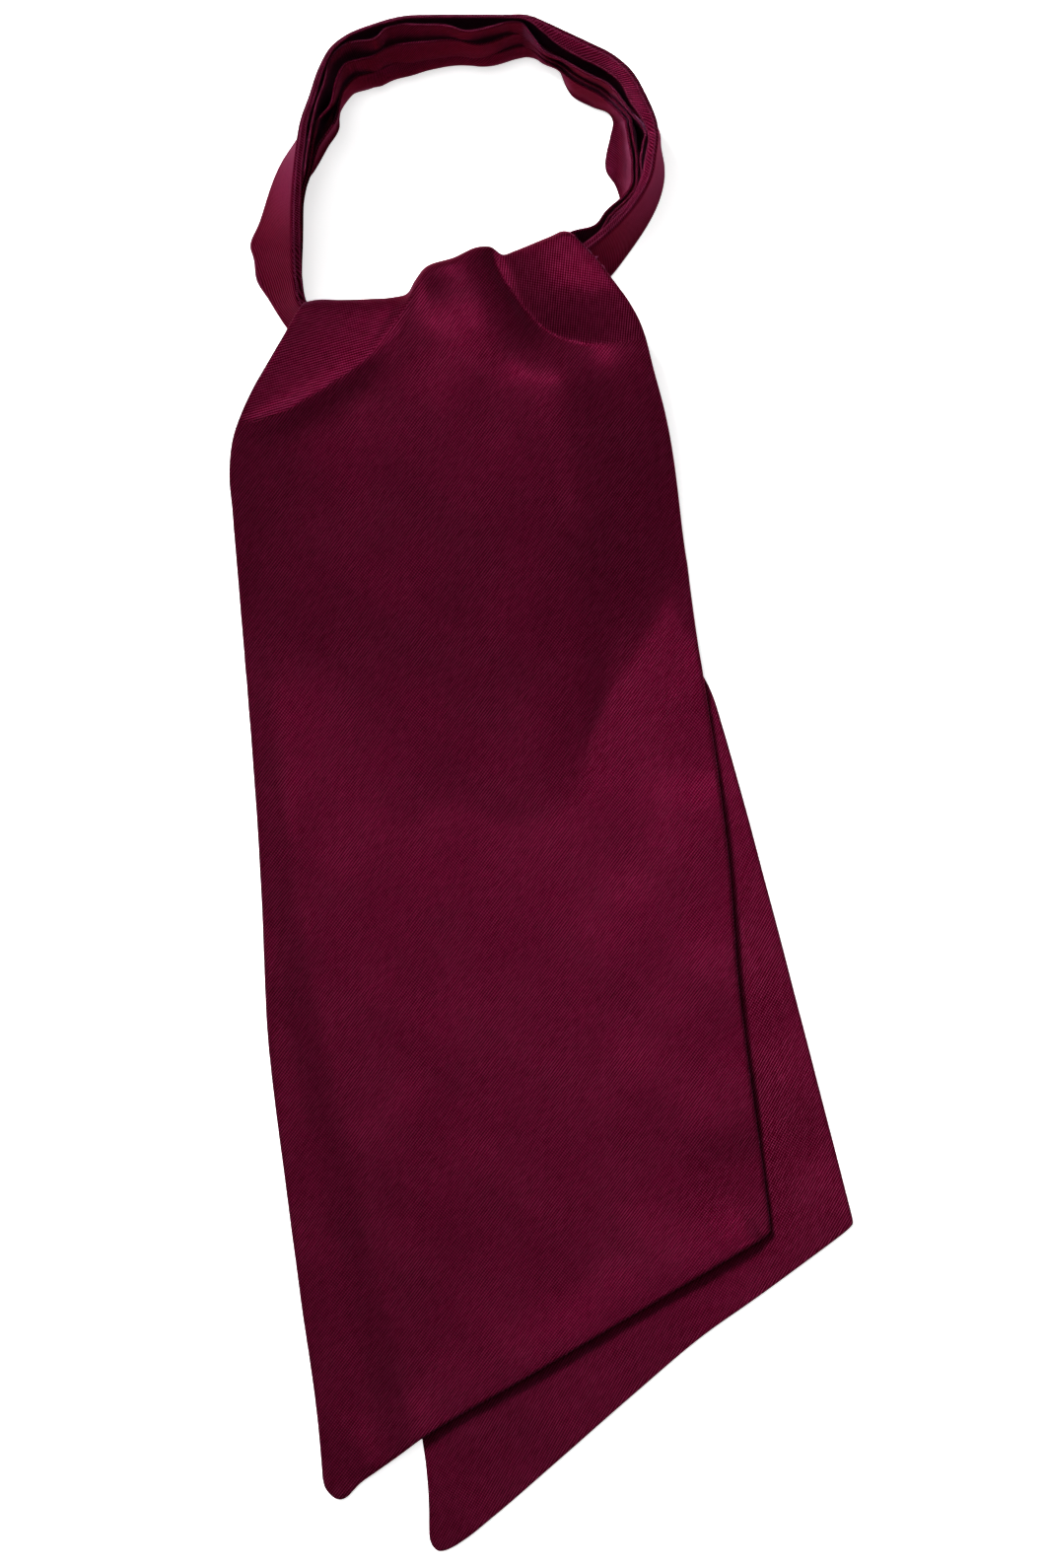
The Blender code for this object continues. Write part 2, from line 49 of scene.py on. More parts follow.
# Where the cravat is looked at from, and the middle of it that is over the origin
EYE = (-6.0, -1.0)
EYE_HEIGHT = 1400.0
MIDDLE = (-0.25, -2.37)

# Thickness of the cloth, and the gap between pieces that touch
BLADE_WALL = 2.4
BAND_WALL = 0.9
GAP = 0.38

# Front blade, as seen: its two long edges from the knot down to the slanting end
FRONT_LEFT = np.array([
    # x, y
    (-77.2, 153.6),
    (-81.5, 145.7),
    (-86.6, 136.9),
    (-93.8, 124.2),
    (-98.9, 111.6),
    (-100.5, 98.9),
    (-99.5, 86.2),
    (-94.8, 29.3),
    (-90.3, -34.0),
    (-87.8, -84.7),
    (-82.4, -129.0),
    (-77.4, -166.9),
    (-72.1, -204.9),
    (-70.4, -224.0),
])
FRONT_RIGHT = np.array([
    # x, y
    (9.7, 176.4),
    (15.7, 170.4),
    (22.3, 162.2),
    (31.5, 147.9),
    (36.6, 130.5),
    (40.0, 117.9),
    (46.4, 73.6),
    (51.7, 35.6),
    (56.8, 1.7),
    (60.3, -26.4),
    (63.4, -65.0),
    (70.4, -118.2),
    (73.9, -145.4),
])
FRONT_END = np.array([
    # x, y
    (-70.4, -224.0),
    (-69.8, -226.4),
    (-68.2, -228.8),
    (-66.2, -230.3),
    (-64.2, -230.6),
    (-62.3, -229.6),
    (-60.6, -227.8),
    (-58.6, -225.7),
    (-53.5, -222.0),
    (-39.2, -211.6),
    (-6.0, -192.2),
    (73.9, -145.4),
])
# Its top, where the cloth rolls over the knot: the outline, the height of the roll, how far
# down the cloth behind it hangs, how far it takes to roll over, how much its shoulder is
# rounded off, how far down the blade it stays that high, and how far it takes to come down
FRONT_TOP = np.array([
    # x, y, crest, back, roll, shoulder, hold, fall
    (-77.2, 153.6, 22.0, 19.4, 3.0, 0.5, 14.0, 108.0),
    (-72.6, 154.6, 21.5, 17.0, 3.5, 0.5, 15.0, 112.0),
    (-64.7, 154.6, 20.8, 8.0, 4.5, 0.5, 16.0, 118.0),
    (-55.2, 154.9, 20.2, 3.0, 6.5, 0.8, 17.0, 128.0),
    (-47.3, 155.5, 20.5, 2.5, 7.0, 1.0, 16.0, 140.0),
    (-43.5, 156.5, 22.0, 2.5, 5.0, 1.6, 14.0, 150.0),
    (-40.7, 160.9, 24.4, 2.5, 3.0, 2.6, 12.0, 160.0),
    (-37.8, 164.7, 25.8, 2.5, 2.5, 3.2, 12.0, 168.0),
    (-28.3, 168.2, 26.6, 2.5, 2.5, 3.2, 12.0, 172.0),
    (-19.8, 171.7, 26.6, 2.5, 3.0, 3.2, 12.0, 170.0),
    (-16.6, 171.7, 26.0, 2.5, 3.0, 3.2, 12.0, 164.0),
    (-12.2, 169.1, 24.6, 2.5, 3.0, 3.0, 12.0, 150.0),
    (-9.3, 170.1, 25.0, 3.0, 2.5, 2.8, 14.0, 136.0),
    (-1.4, 173.3, 26.4, 9.0, 2.5, 2.6, 18.0, 118.0),
    (3.0, 175.1, 27.0, 17.0, 2.5, 2.6, 21.0, 106.0),
    (6.8, 176.7, 27.2, 21.0, 2.5, 2.6, 24.0, 96.0),
    (9.7, 176.4, 27.0, 22.5, 2.5, 2.6, 25.0, 90.0),
])
# How deep the roll is, how far down the blade its shoulder reaches, how evenly the blade comes
# down, and the cloth that hangs behind it, lowest row first
ROLL = 5.0
SHOULDER_REACH = 24.0
EVEN_FALL = 0.35
BEHIND = np.array([
    # share of the drop, tucked in
    (1.0, 2.5),
    (0.75, 0.8),
    (0.4, 0.0),
    (0.0, 0.0),
])
# The least that the cloth behind hangs, how far down the outline of the top is felt, and how
# far and which way the blades' sharp corners are drawn in
LEAST_DROP = 1.5
TOP_REACH = 95.0
CORNER_SOFT = 0.8
FRONT_CORNER_IN = (-0.74, 0.67)
REAR_CORNER_IN = (-0.84, 0.54)

# The front blade's folds over the knot: how high each stands or how deep it goes, how far it
# spreads to the left and to the right of its line as the line runs, whether it is sharp (1) or
# round (2), how long it takes to come up and to die away, and the line
FRONT_FOLDS = [
    # name, rise, spread left, spread right, shape, comes up, dies away, line
    ("left ridge", 1.7, 5.0, 2.0, 2, 8, 24,
     [(-35.2, 166), (-40.6, 156.6), (-45.8, 149.6), (-51.2, 142.8), (-55.4, 137.2), (-60.6, 132.8),
      (-67.0, 128.8), (-73.8, 124.6), (-81.6, 119.8), (-91.0, 116.2), (-101, 114.2)]),
    ("left swell", 1.4, 8.0, 16.0, 2, 10, 24,
     [(-35.2, 166), (-40.6, 156.6), (-51.2, 142.8), (-60.6, 132.8), (-73.8, 124.6), (-101, 114.2)]),
    ("right valley", -7.8, 11.0, 4.8, 1, 8, 30,
     [(-17.6, 184), (-16.2, 174), (-14.6, 166), (-11.6, 160.2), (-8.0, 155.0), (-3.6, 149.6),
      (0.8, 145.4), (6.0, 142.6), (13.0, 140.8), (22.0, 141.0), (30.0, 142.5)]),
    ("right fold", 2.0, 13.0, 13.0, 2, 6, 16,
     [(-8, 188), (-2, 174), (4, 160), (12, 156), (24, 156)]),
]
# How much of the folds there is at the roll's edge, and how much a sharp one is rounded off
FOLD_START = 0.5
CREASE_SOFT = 0.8
# Its softer creases further down, in the same columns
FRONT_DRAPE = [
    # name, rise, spread left, spread right, shape, comes up, dies away, line
    ("upper middle", 0.7, 8.0, 13.0, 2, 20, 22,
     [(-30, 140), (-27, 112), (-25, 85), (-25, 50)]),
    ("stripe", 4.8, 14.0, 11.0, 2, 14, 56,
     [(3, 142), (5.0, 120), (8.5, 102), (13.0, 86), (17.5, 67), (20.5, 50), (21.5, 34)]),
    ("left of middle", 0.5, 9.0, 14.0, 2, 20, 30,
     [(-54, 95), (-50, 60), (-47, 20), (-46, -20)]),
    ("left edge", 0.8, 11.0, 12.0, 2, 20, 20,
     [(-84, 10), (-84, -30), (-82, -75)]),
    ("low middle", 0.5, 12.0, 15.0, 2, 20, 20,
     [(-48, -90), (-44, -130), (-42, -170)]),
    ("right edge", 1.2, 8.0, 22.0, 2, 16, 16,
     [(58, 8), (60, -35), (64, -75), (68, -125)]),
    ("slant", -0.7, 5.0, 4.5, 2, 8, 8,
     [(42, 40), (32, 30), (22, 19), (14, 8)]),
    ("hem", 1.5, 14.0, 9.0, 2, 10, 6,
     [(-60, -226), (-20, -200), (20, -176), (73, -146)]),
]
# Soft waves that run all over a blade: height, length, and the way each one runs
BLADE_WAVES = [
    # height, length, direction in degrees, start
    (0.16, 61.0, 12.0, 0.4),
    (0.12, 43.0, 74.0, 1.9),
    (0.10, 29.0, -33.0, 3.1),
    (0.07, 19.0, 48.0, 5.2),
]

# Rear blade, as seen, with its hidden edges drawn on to the knot
REAR_LEFT = np.array([
    # x, y
    (-57.4, 126.1),
    (-66.0, 104.0),
    (-77.0, 66.0),
    (-82.0, 30.0),
    (-77.5, -15.0),
    (-69.9, -71.0),
    (-57.0, -130.0),
    (-44.0, -185.0),
    (-38.4, -211.0),
    (-36.4, -230.0),
    (-36.2, -241.5),
])
REAR_RIGHT = np.array([
    # x, y
    (0.0, 142.1),
    (13.0, 110.0),
    (28.0, 76.0),
    (44.0, 46.0),
    (54.3, 29.3),
    (58.4, 16.6),
    (63.8, -2.4),
    (72.3, -34.0),
    (88.8, -97.3),
    (100.5, -142.6),
])
REAR_END = np.array([
    # x, y
    (-36.2, -241.5),
    (-35.8, -243.9),
    (-34.8, -245.8),
    (-33.3, -247.0),
    (-31.5, -247.0),
    (-29.1, -246.1),
    (-25.3, -243.8),
    (-15.5, -236.0),
    (3.5, -219.6),
    (28.8, -197.4),
    (54.1, -176.2),
    (66.8, -167.3),
    (100.5, -142.6),
])
# How far beside it the front blade stays lifted by it, and over how far that one comes down
REAR_LEDGE = 1.0
REAR_SLOPE = 14.0
# The rear blade's own cloth, and how much lower it may wave
REAR_WALL = 1.6
REAR_DIP = 0.25

# The knot's hidden turns: their middle, sizes, turn in degrees and layers, how near the front
# blade keeps them down, and how finely they and the blade over them are divided
KNOT_AT = (-28.0, 145.6)
KNOT_HALF_LENGTH = 27.0
KNOT_HALF_WIDTH = 10.0
KNOT_TURN = 17.0
KNOT_HEIGHT = 21.0
KNOT_LAYERS = 3
KNOT_LAYER_BULGE = 1.3
KNOT_CROWN = 0.12
KNOT_SIDES = 120
KNOT_RINGS = 60
KNOT_CLEAR = 5.0
COVER_STEP = 3

# Neckband, as seen: where the outer ply's top edge runs, clockwise from the left end, its
# height, the way into the loop in degrees, and how far the edge is rolled over inwards
LOOP = np.array([
    # x, y, height, facing, lip
    (-62.5, 139.0, 10.0, 42.0, 0.0),
    (-72.0, 146.5, 12.5, 36.0, 1.0),
    (-78.0, 153.6, 16.0, 20.0, 1.8),
    (-79.4, 161.0, 20.5, 8.0, 1.9),
    (-79.9, 167.9, 24.5, 3.0, 1.9),
    (-80.0, 173.3, 27.0, 0.0, 1.9),
    (-80.1, 179.6, 29.0, 0.0, 1.9),
    (-80.0, 186.0, 30.4, 0.0, 1.9),
    (-79.6, 192.6, 31.0, 0.0, 1.8),
    (-79.1, 198.6, 31.0, -2.0, 1.7),
    (-78.4, 205.0, 31.0, -5.0, 1.9),
    (-77.4, 211.4, 31.0, -10.0, 1.6),
    (-74.4, 220.1, 31.0, -16.0, 1.2),
    (-71.2, 229.3, 31.0, -34.0, 0.9),
    (-67.6, 235.5, 31.0, -50.0, 0.4),
    (-62.4, 239.5, 31.0, -62.0, 0.1),
    (-54.8, 242.6, 31.0, -74.0, 0.1),
    (-44.3, 245.4, 31.0, -82.0, 0.1),
    (-34.7, 245.8, 31.0, -90.0, 0.1),
    (-23.6, 245.8, 31.0, -90.0, 0.1),
    (-12.5, 245.8, 31.0, -90.0, 0.1),
    (-4.0, 245.6, 31.0, -97.0, 1.0),
    (0.8, 243.7, 31.0, -104.0, 2.5),
    (6.0, 241.3, 31.0, -112.0, 4.0),
    (15.0, 237.1, 31.0, -124.0, 5.0),
    (23.0, 233.0, 31.0, -128.0, 5.0),
    (28.6, 228.1, 31.0, -138.0, 4.6),
    (33.4, 220.0, 31.0, -155.0, 4.8),
    (36.7, 211.2, 31.0, -170.0, 3.0),
    (37.0, 206.5, 31.0, -177.0, 2.2),
    (36.4, 201.5, 31.0, -184.0, 2.4),
    (35.2, 194.8, 30.5, -190.0, 2.4),
    (32.0, 188.2, 29.5, -203.0, 1.8),
    (27.6, 182.4, 27.0, -218.0, 1.5),
    (20.8, 175.6, 22.0, -226.0, 1.5),
    (14.0, 170.4, 17.8, -230.0, 1.5),
    (8.0, 165.8, 14.2, -230.0, 1.2),
    (2.0, 160.8, 11.2, -230.0, 1.0),
])
# The foot of the outer ply, as seen or as it runs on hidden
OUTER_FOOT = np.array([
    # x, y
    (-67.6, 134.3),
    (-78.6, 141.9),
    (-81.5, 145.5),
    (-87.9, 155.3),
    (-91.2, 160.4),
    (-92.4, 168.0),
    (-93.4, 171.4),
    (-90.6, 179.0),
    (-83.3, 198.6),
    (-77.1, 207.8),
    (-64.4, 226.7),
    (-44.5, 234.7),
    (-34.7, 236.2),
    (-6.2, 238.8),
    (-1.4, 238.1),
    (2.1, 235.6),
    (7.1, 232.4),
    (11.6, 228.6),
    (17.2, 225.5),
    (35.0, 210.9),
    (37.2, 208.7),
    (38.0, 203.4),
    (39.2, 197.3),
    (25.1, 166.0),
    (6.5, 147.0),
])
# The folded edge of pleat 1
EDGE_1 = np.array([
    # x, y
    (-72.0, 139.4),
    (-78.8, 152.1),
    (-79.3, 165.3),
    (-79.2, 174.8),
    (-78.6, 188.1),
    (-76.6, 194.5),
    (-75.5, 201.7),
    (-71.5, 220.1),
    (-70.1, 223.6),
    (-68.1, 231.5),
    (-63.9, 237.0),
    (-60.1, 237.5),
    (-52.9, 238.9),
    (-50.8, 241.3),
    (-44.8, 243.4),
    (-41.4, 243.0),
    (-28.7, 242.2),
    (-25.8, 241.1),
    (-15.7, 242.4),
    (-9.3, 244.0),
    (-6.3, 243.4),
    (-4.3, 241.0),
    (1.1, 234.3),
    (6.8, 231.5),
    (16.9, 226.1),
    (20.1, 224.7),
    (28.8, 214.5),
    (32.4, 210.0),
    (33.4, 208.1),
    (32.8, 205.2),
    (31.9, 200.0),
    (32.1, 191.9),
    (25.5, 183.4),
    (22.9, 180.9),
    (21.0, 177.4),
    (14.1, 171.4),
    (-0.5, 160.3),
])
# The folded edge of pleat 2
EDGE_2 = np.array([
    # x, y
    (-69.5, 140.7),
    (-75.2, 148.9),
    (-77.5, 153.3),
    (-77.9, 157.4),
    (-77.8, 174.8),
    (-77.2, 188.8),
    (-75.3, 195.1),
    (-73.2, 208.1),
    (-72.6, 211.2),
    (-67.9, 217.2),
    (-65.8, 225.5),
    (-63.0, 230.4),
    (-59.2, 231.6),
    (-55.0, 232.6),
    (-49.9, 235.4),
    (-37.2, 237.5),
    (-27.7, 238.0),
    (-20.7, 236.6),
    (-5.2, 240.0),
    (2.1, 235.6),
    (7.8, 232.9),
    (17.9, 227.7),
    (21.0, 226.3),
    (26.0, 221.7),
    (28.3, 218.2),
    (28.5, 213.5),
    (29.7, 205.2),
    (30.4, 202.3),
    (30.7, 196.4),
    (30.4, 191.3),
    (21.4, 180.5),
    (19.1, 176.7),
    (12.2, 171.0),
    (4.3, 166.0),
    (-1.7, 161.6),
])
# The edge of the inner ply
EDGE_3 = np.array([
    # x, y
    (-66.9, 141.9),
    (-73.3, 150.2),
    (-76.7, 154.6),
    (-77.2, 158.4),
    (-77.1, 174.8),
    (-77.0, 184.3),
    (-72.9, 200.8),
    (-72.0, 203.3),
    (-66.3, 212.2),
    (-63.4, 222.3),
    (-59.2, 226.3),
    (-55.0, 227.4),
    (-46.1, 231.3),
    (-33.4, 234.3),
    (-23.6, 235.0),
    (-20.7, 233.9),
    (-12.7, 234.2),
    (-8.0, 235.8),
    (12.5, 229.0),
    (25.0, 220.6),
    (27.1, 214.7),
    (27.4, 210.3),
    (29.3, 194.5),
    (29.0, 191.9),
    (20.1, 181.8),
    (18.2, 179.0),
    (9.7, 176.1),
    (-3.0, 166.0),
])
# The foot of the inner ply
INNER_FOOT = np.array([
    # x, y
    (-64.7, 133.1),
    (-70.1, 141.3),
    (-76.1, 154.0),
    (-77.2, 162.1),
    (-76.9, 170.5),
    (-76.6, 181.8),
    (-77.3, 189.4),
    (-76.7, 190.6),
    (-73.1, 195.4),
    (-68.5, 203.4),
    (-64.7, 210.2),
    (-64.8, 212.6),
    (-63.7, 217.0),
    (-61.4, 219.9),
    (-55.0, 222.2),
    (-35.5, 229.2),
    (-13.5, 231.3),
    (-1.6, 232.8),
    (0.8, 231.8),
    (3.5, 230.5),
    (9.8, 219.7),
    (16.1, 216.3),
    (21.9, 213.6),
    (22.6, 212.2),
    (21.9, 206.9),
    (20.6, 201.2),
    (20.3, 197.5),
    (20.5, 196.1),
    (23.5, 191.2),
    (25.0, 183.9),
    (22.2, 179.2),
    (14.1, 172.3),
    (3.3, 162.8),
])
# How far below the outer ply's edge the folded edges of pleat 1, pleat 2 and the inner ply
# are at places along the loop, and how far all the plies bulge inwards there
DROPS = np.array([
    # place, down 1, down 2, down 3, bulge inwards
    (0.00, 1.6, 2.6, 3.6, -0.8),
    (0.10, 2.0, 4.0, 6.0, -0.8),
    (0.19, 2.4, 5.0, 8.0, -0.8),
    (0.22, 1.6, 5.0, 9.0, -0.6),
    (0.27, 1.2, 3.5, 9.0, 0.4),
    (0.33, 1.6, 5.0, 12.0, 1.6),
    (0.40, 2.4, 9.5, 18.0, 3.0),
    (0.55, 2.4, 9.5, 18.0, 3.0),
    (0.61, 3.4, 13.0, 17.5, 1.0),
    (0.64, 4.6, 14.0, 17.5, 0.6),
    (0.72, 4.6, 14.0, 17.0, 0.6),
    (0.75, 3.6, 10.0, 14.0, 0.0),
    (0.78, 2.6, 6.0, 12.0, -0.4),
    (0.81, 1.6, 4.0, 9.0, -0.8),
    (0.86, 1.6, 3.4, 5.5, -0.8),
    (0.92, 1.4, 2.8, 4.0, -0.8),
    (1.00, 1.2, 2.2, 3.2, -0.8),
])
# The least distance between two plies, where the outer ply's turned-in foot has its points
# under the others, how much of their bulge it has, how sharply those turn in at their feet
# and how they rise from there, the shares of its height at which a ply's face starts and
# ends, and how far a foot may be from the outer ply's edge
PLY_STEP = 1.36
UNDER_RUN = (1.0, 0.75, 0.5, 0.25, 0.06)
OUTER_BULGE = 0.3
TOE_TURN = 6
TOE_RISE = 1.25
OUTER_START = 0.02
FACE_END = 0.96
FOOT_REACH = 32.0
# Stitches along the folded edges: the distance between two, half their size, the place in
# the weave whose tone they have, their slant, and how finely they are divided
STITCH_PITCH = 0.80
STITCH_HALF = (0.46, 0.22, 0.22)
STITCH_TONE = 0.13
STITCH_SLANT = 35.0
STITCH_SIDES = 6
STITCH_RINGS = 3
# The plies, how wide a strip of the folded band shows in each, and their stitches
PLIES = [
    # name, width, which places of its section bear stitches
    ("neckband_outer", 41.0, (-5, -1)),
    ("neckband_pleat_1", 24.5, (-1,)),
    ("neckband_pleat_2", 18.5, ()),
    ("neckband_inner", 14.5, ()),
]
# The band's length, its stitched edge's turn and fall, and the angles of a rounded edge
EDGE_TURN = 0.1
LIP_TURN = 0.2
LIP_FALL = 0.22
NOSE_TURNS = (-60, -30, 0, 30, 60)
BAND_STATIONS = 400
BAND_LEVELS = 24
LIP_LEVELS = 5
# How far a ply's face leaves its straight section in soft waves along the loop
BAND_WAVES = [
    # height, length, start
    (0.20, 37.0, 0.7),
    (0.14, 21.0, 2.3),
    (0.09, 13.0, 4.4),
]

# How finely the cloth is divided, and the blades' sizes that the steps are shares of
FRONT_LENGTH = 390.0
FRONT_WIDTH = 135.0
REAR_LENGTH = 385.0
REAR_WIDTH = 125.0
FOLD_STEP = 1.1
FOLD_REACH = 72.0
STEP_GROWTH = 1.06
BODY_STEP = 2.6
EDGE_STEPS = (0.0, 0.1, 0.35, 0.75, 1.2, 1.9, 2.9)
FRONT_COLUMNS = 150
REAR_COLUMNS = 110
REAR_ROWS = 150
BEHIND_ROWS = 12
ROLL_TURNS = 8
TIP_CROWDING = 0.5
REAR_CROWDING = 1.9
TIP_FADE = 8
END_FADE = 30
SPAN_STEPS = 12
LINE_STEPS = 500
FOLD_LINE_STEPS = 6
OUTLINE_ROWS = 40
OUTLINE_COLUMNS = 20

# The way the silk's cross threads run, in degrees from X
FRONT_THREADS = 53.5
REAR_THREADS = 60.5
LEFT_FACET_THREADS = 16.0
RIGHT_FACET_THREADS = 84.5
BAND_THREADS = 58.0
# Corner that each facet beside the knot reaches to, as seen
LEFT_FACET_CORNER = (-42, 116)
RIGHT_FACET_CORNER = (-14, 140)
# The weave: from one diagonal to the next, how far the diagonals wander and how often, how
# far the second set is off square, how large the patches are in which the first set shows
# more, the noise that they come from, the first set's share in them, and how much the
# crossings stand out
TWILL = 0.78
WANDER = (0.12, 0.12, 0.0)
WANDER_SCALE = 0.06
WEFT_SKEW = 0.066
PATCH_SCALE = 0.035
PATCH_NOISE = (0.35, 0.65)
WARP_SHARE = (0.68, 0.92)
CROSSING = 0.8
# Thick and thin threads and cloudy places: their scales, and what each adds to the tone
SLUB_SCALE = (1.6, 0.30, 1.0)
SLUB_TONE = 0.55
MOTTLE_SCALE = 0.22
MOTTLE_TONE = 0.10
BASE_TONE = 0.175
WEAVE_TONE = 0.42
TONE_STOPS = (0.1, 0.5, 0.9)
THREAD_BUMP = 0.35
THREAD_HEIGHT = 0.15

# Colours of the silk, how it shines, and how much two pieces' silk is scaled: lighter on the rear
# blade as painted light, darker on the knot as painted shade
SILK_SHADE = (0.007, 0.0, 0.0001)
SILK_BODY = (0.033, 0.0, 0.0048)
SILK_LIGHT = (0.090, 0.0085, 0.0270)
SILK_TINT = (0.8, 0.06, 0.30)
SILK_SHEEN = (1.0, 0.26, 0.60)
SILK_ROUGHNESS = 0.38
SILK_METALLIC = 0.3
SHEEN = 0.12
SHEEN_ROUGHNESS = 0.3
# The knot's silk is made darker: painted shade under the front blade
KNOT_PAINTED_SHADE = 0.6
# The rear blade's silk is made lighter: painted light
REAR_PAINTED_LIGHT = 1.12

# Light: one lamp from beyond the loop and a little to the left and a broad one overhead, in a
# pale room
LAMPS = [
    # name, turn to the left, rise, distance, size, power, spread, where it is aimed
    ("main_lamp", 38.0, 54.0, 2.6, 0.6, 9.3, 34.0, (0.5, -0.14, 0.0)),
    ("top_lamp", 38.0, 78.0, 2.6, 1.0, 22.0, 180.0, (0.0, 0.0, 0.0)),
]
ROOM_LIGHT = 0.7
CEILING_LIGHT = 0.008
# Sine of the rise at which the pale walls end and the dimmer ceiling starts
WALL_TOP = 0.16
CEILING_START = 0.34
FLOOR_SIZE = 12.0
FLOOR_DROP = 0.0002
FLOOR_ROUGHNESS = 0.9
FLOOR_COLOUR = (0.93, 0.93, 0.93)
FLOOR_GLOW = 0.72

# The photograph: pixels to a millimetre on the surface, its size, and where its middle looks
PIXELS_PER_MM = 3.16
PICTURE = (1060, 1590)
PICTURE_MIDDLE = (-6.17, -0.79)
SENSOR = 36.0


def run_along(points):
    """Distance along a line, or down each column of a grid, to each of its points."""
    steps = np.linalg.norm(np.diff(points, axis=0), axis=-1)
    return np.concatenate([np.zeros((1, *steps.shape[1:])), np.cumsum(steps, axis=0)])


def smooth_curve(points, shares):
    """Points at the given shares of the length of a smooth curve through a table's rows."""
    knots = run_along(points[:, :2])
    slopes = np.gradient(points, knots, axis=0)
    fine = np.unique(np.concatenate(
        [np.linspace(a, b, SPAN_STEPS + 1) for a, b in zip(knots, knots[1:])]))
    span = np.clip(np.searchsorted(knots, fine, side="right") - 1, 0, len(knots) - 2)
    width = (knots[span + 1] - knots[span])[:, None]
    t = (fine[:, None] - knots[span][:, None]) / width
    curve = (
        (2 * t**3 - 3 * t**2 + 1) * points[span]
        + (t**3 - 2 * t**2 + t) * width * slopes[span]
        + (3 * t**2 - 2 * t**3) * points[span + 1]
        + (t**3 - t**2) * width * slopes[span + 1]
    )
    length = run_along(curve[:, :2])
    at = np.asarray(shares) * length[-1]
    return np.stack([np.interp(at, length, column) for column in curve.T], axis=-1)


def smooth_line(points):
    """A smooth line through a table's places, as points close together."""
    return smooth_curve(points, np.linspace(0, 1, LINE_STEPS))


def smooth_step(t):
    """Rises from 0 to 1 with level ends."""
    t = np.clip(t, 0.0, 1.0)
    return t * t * (3 - 2 * t)


def brought_in(plan, height):
    """Plan points as seen, moved to where they stand at their height."""
    eye = np.array(EYE)
    return eye + (plan - eye) * (1 - np.asarray(height) / EYE_HEIGHT)[..., None]


def unit(vectors):
    """Vectors of length 1."""
    size = np.linalg.norm(vectors, axis=-1, keepdims=True)
    return vectors / np.maximum(size, 1e-9)


def softened(plan, corner, inward, reach):
    """Draws a sharp corner of the outline in to a round one."""
    depth = (plan - corner) @ inward
    return plan + (reach * np.exp(-np.maximum(depth, 0) / reach))[..., None] * inward


def line_distance(plan, line):
    """Distance from each plan point to a line of points, 1 to its left or -1 to its right, and
    how far along the line its nearest place is."""
    nearest = np.full(plan.shape[:-1], np.inf)
    side = np.ones(plan.shape[:-1])
    along = np.zeros(plan.shape[:-1])
    passed = 0.0
    for a, b in zip(line, line[1:]):
        run = b - a
        t = np.clip((plan - a) @ run / (run @ run), 0, 1)
        off = plan - (a + t[..., None] * run)
        far = np.linalg.norm(off, axis=-1)
        closer = far < nearest
        turn = run[0] * off[..., 1] - run[1] * off[..., 0]
        side = np.where(closer, np.sign(turn + 1e-12), side)
        along = np.where(closer, passed + t * np.linalg.norm(run), along)
        nearest = np.where(closer, far, nearest)
        passed += np.linalg.norm(run)
    return nearest, side, along


def fold_height(plan, folds):
    """Height that the folds add at each plan point."""
    total = np.zeros(plan.shape[:-1])
    for _, rise, left, right, shape, comes_up, dies_away, line in folds:
        path = smooth_curve(np.array(line, float), np.linspace(0, 1, FOLD_LINE_STEPS * len(line)))
        far, side, along = line_distance(plan, path)
        length = run_along(path)[-1]
        spread = np.where(side > 0, left, right)
        ends = smooth_step(along / comes_up) * smooth_step((length - along) / dies_away)
        if shape == 1:
            far = np.sqrt(far**2 + CREASE_SOFT**2) - CREASE_SOFT
        total += rise * ends * np.exp(-(far / spread) ** shape)
    return total


def wave_height(plan, waves):
    """Height of soft waves at each plan point."""
    total = np.zeros(plan.shape[:-1])
    for height, length, direction, start in waves:
        angle = math.radians(direction)
        along = plan[..., 0] * math.cos(angle) + plan[..., 1] * math.sin(angle)
        total += height * np.sin(2 * math.pi * along / length + start)
    return total


def edge_grid(left, right, last, rows, columns):
    """Plan points of a blade: rows between its two long edges, straight until they near its
    end, where they take the end's own outline and crowd towards its long point."""
    crowding = TIP_CROWDING * (rows**TIP_FADE)[:, None] * columns * (1 - columns)
    start = smooth_curve(left, rows)
    end = smooth_curve(right, rows)
    grid = start[:, None] + (end - start)[:, None] * (columns - crowding)[..., None]
    outline = smooth_curve(last, columns - TIP_CROWDING * columns * (1 - columns))
    return grid + (rows**END_FADE)[:, None, None] * (outline - grid[-1])


def spread_columns(count, width):
    """Shares of a blade's width at which its columns lie, close together at both edges."""
    edge = np.array(EDGE_STEPS) / width
    inner = np.linspace(edge[-1], 1 - edge[-1], count)
    return np.concatenate([edge[:-1], inner, (1 - edge[:-1])[::-1]])


def rear_rows(count, length):
    """Shares of the rear blade's length at which its rows lie."""
    rows = 1 - (1 - np.linspace(0, 1, count)) ** REAR_CROWDING
    edge = 1 - np.array(EDGE_STEPS)[::-1] / length
    return np.concatenate([rows[rows < edge[0]], edge])


def rear_plan(rows, columns):
    """Plan points of the rear blade, as seen, from the knot down to its slanting end."""
    grid = edge_grid(REAR_LEFT, REAR_RIGHT, REAR_END, rows, columns)
    return softened(grid, REAR_RIGHT[-1], unit(np.array(REAR_CORNER_IN)), CORNER_SOFT)


def rear_outline():
    """The rear blade's outline, as seen."""
    rows = 1 - (1 - np.linspace(0, 1, OUTLINE_ROWS)) ** REAR_CROWDING
    grid = rear_plan(rows, np.linspace(0, 1, OUTLINE_COLUMNS))
    return np.concatenate([grid[:-1, 0], grid[-1, :-1], grid[:0:-1, -1], grid[0, ::-1]])


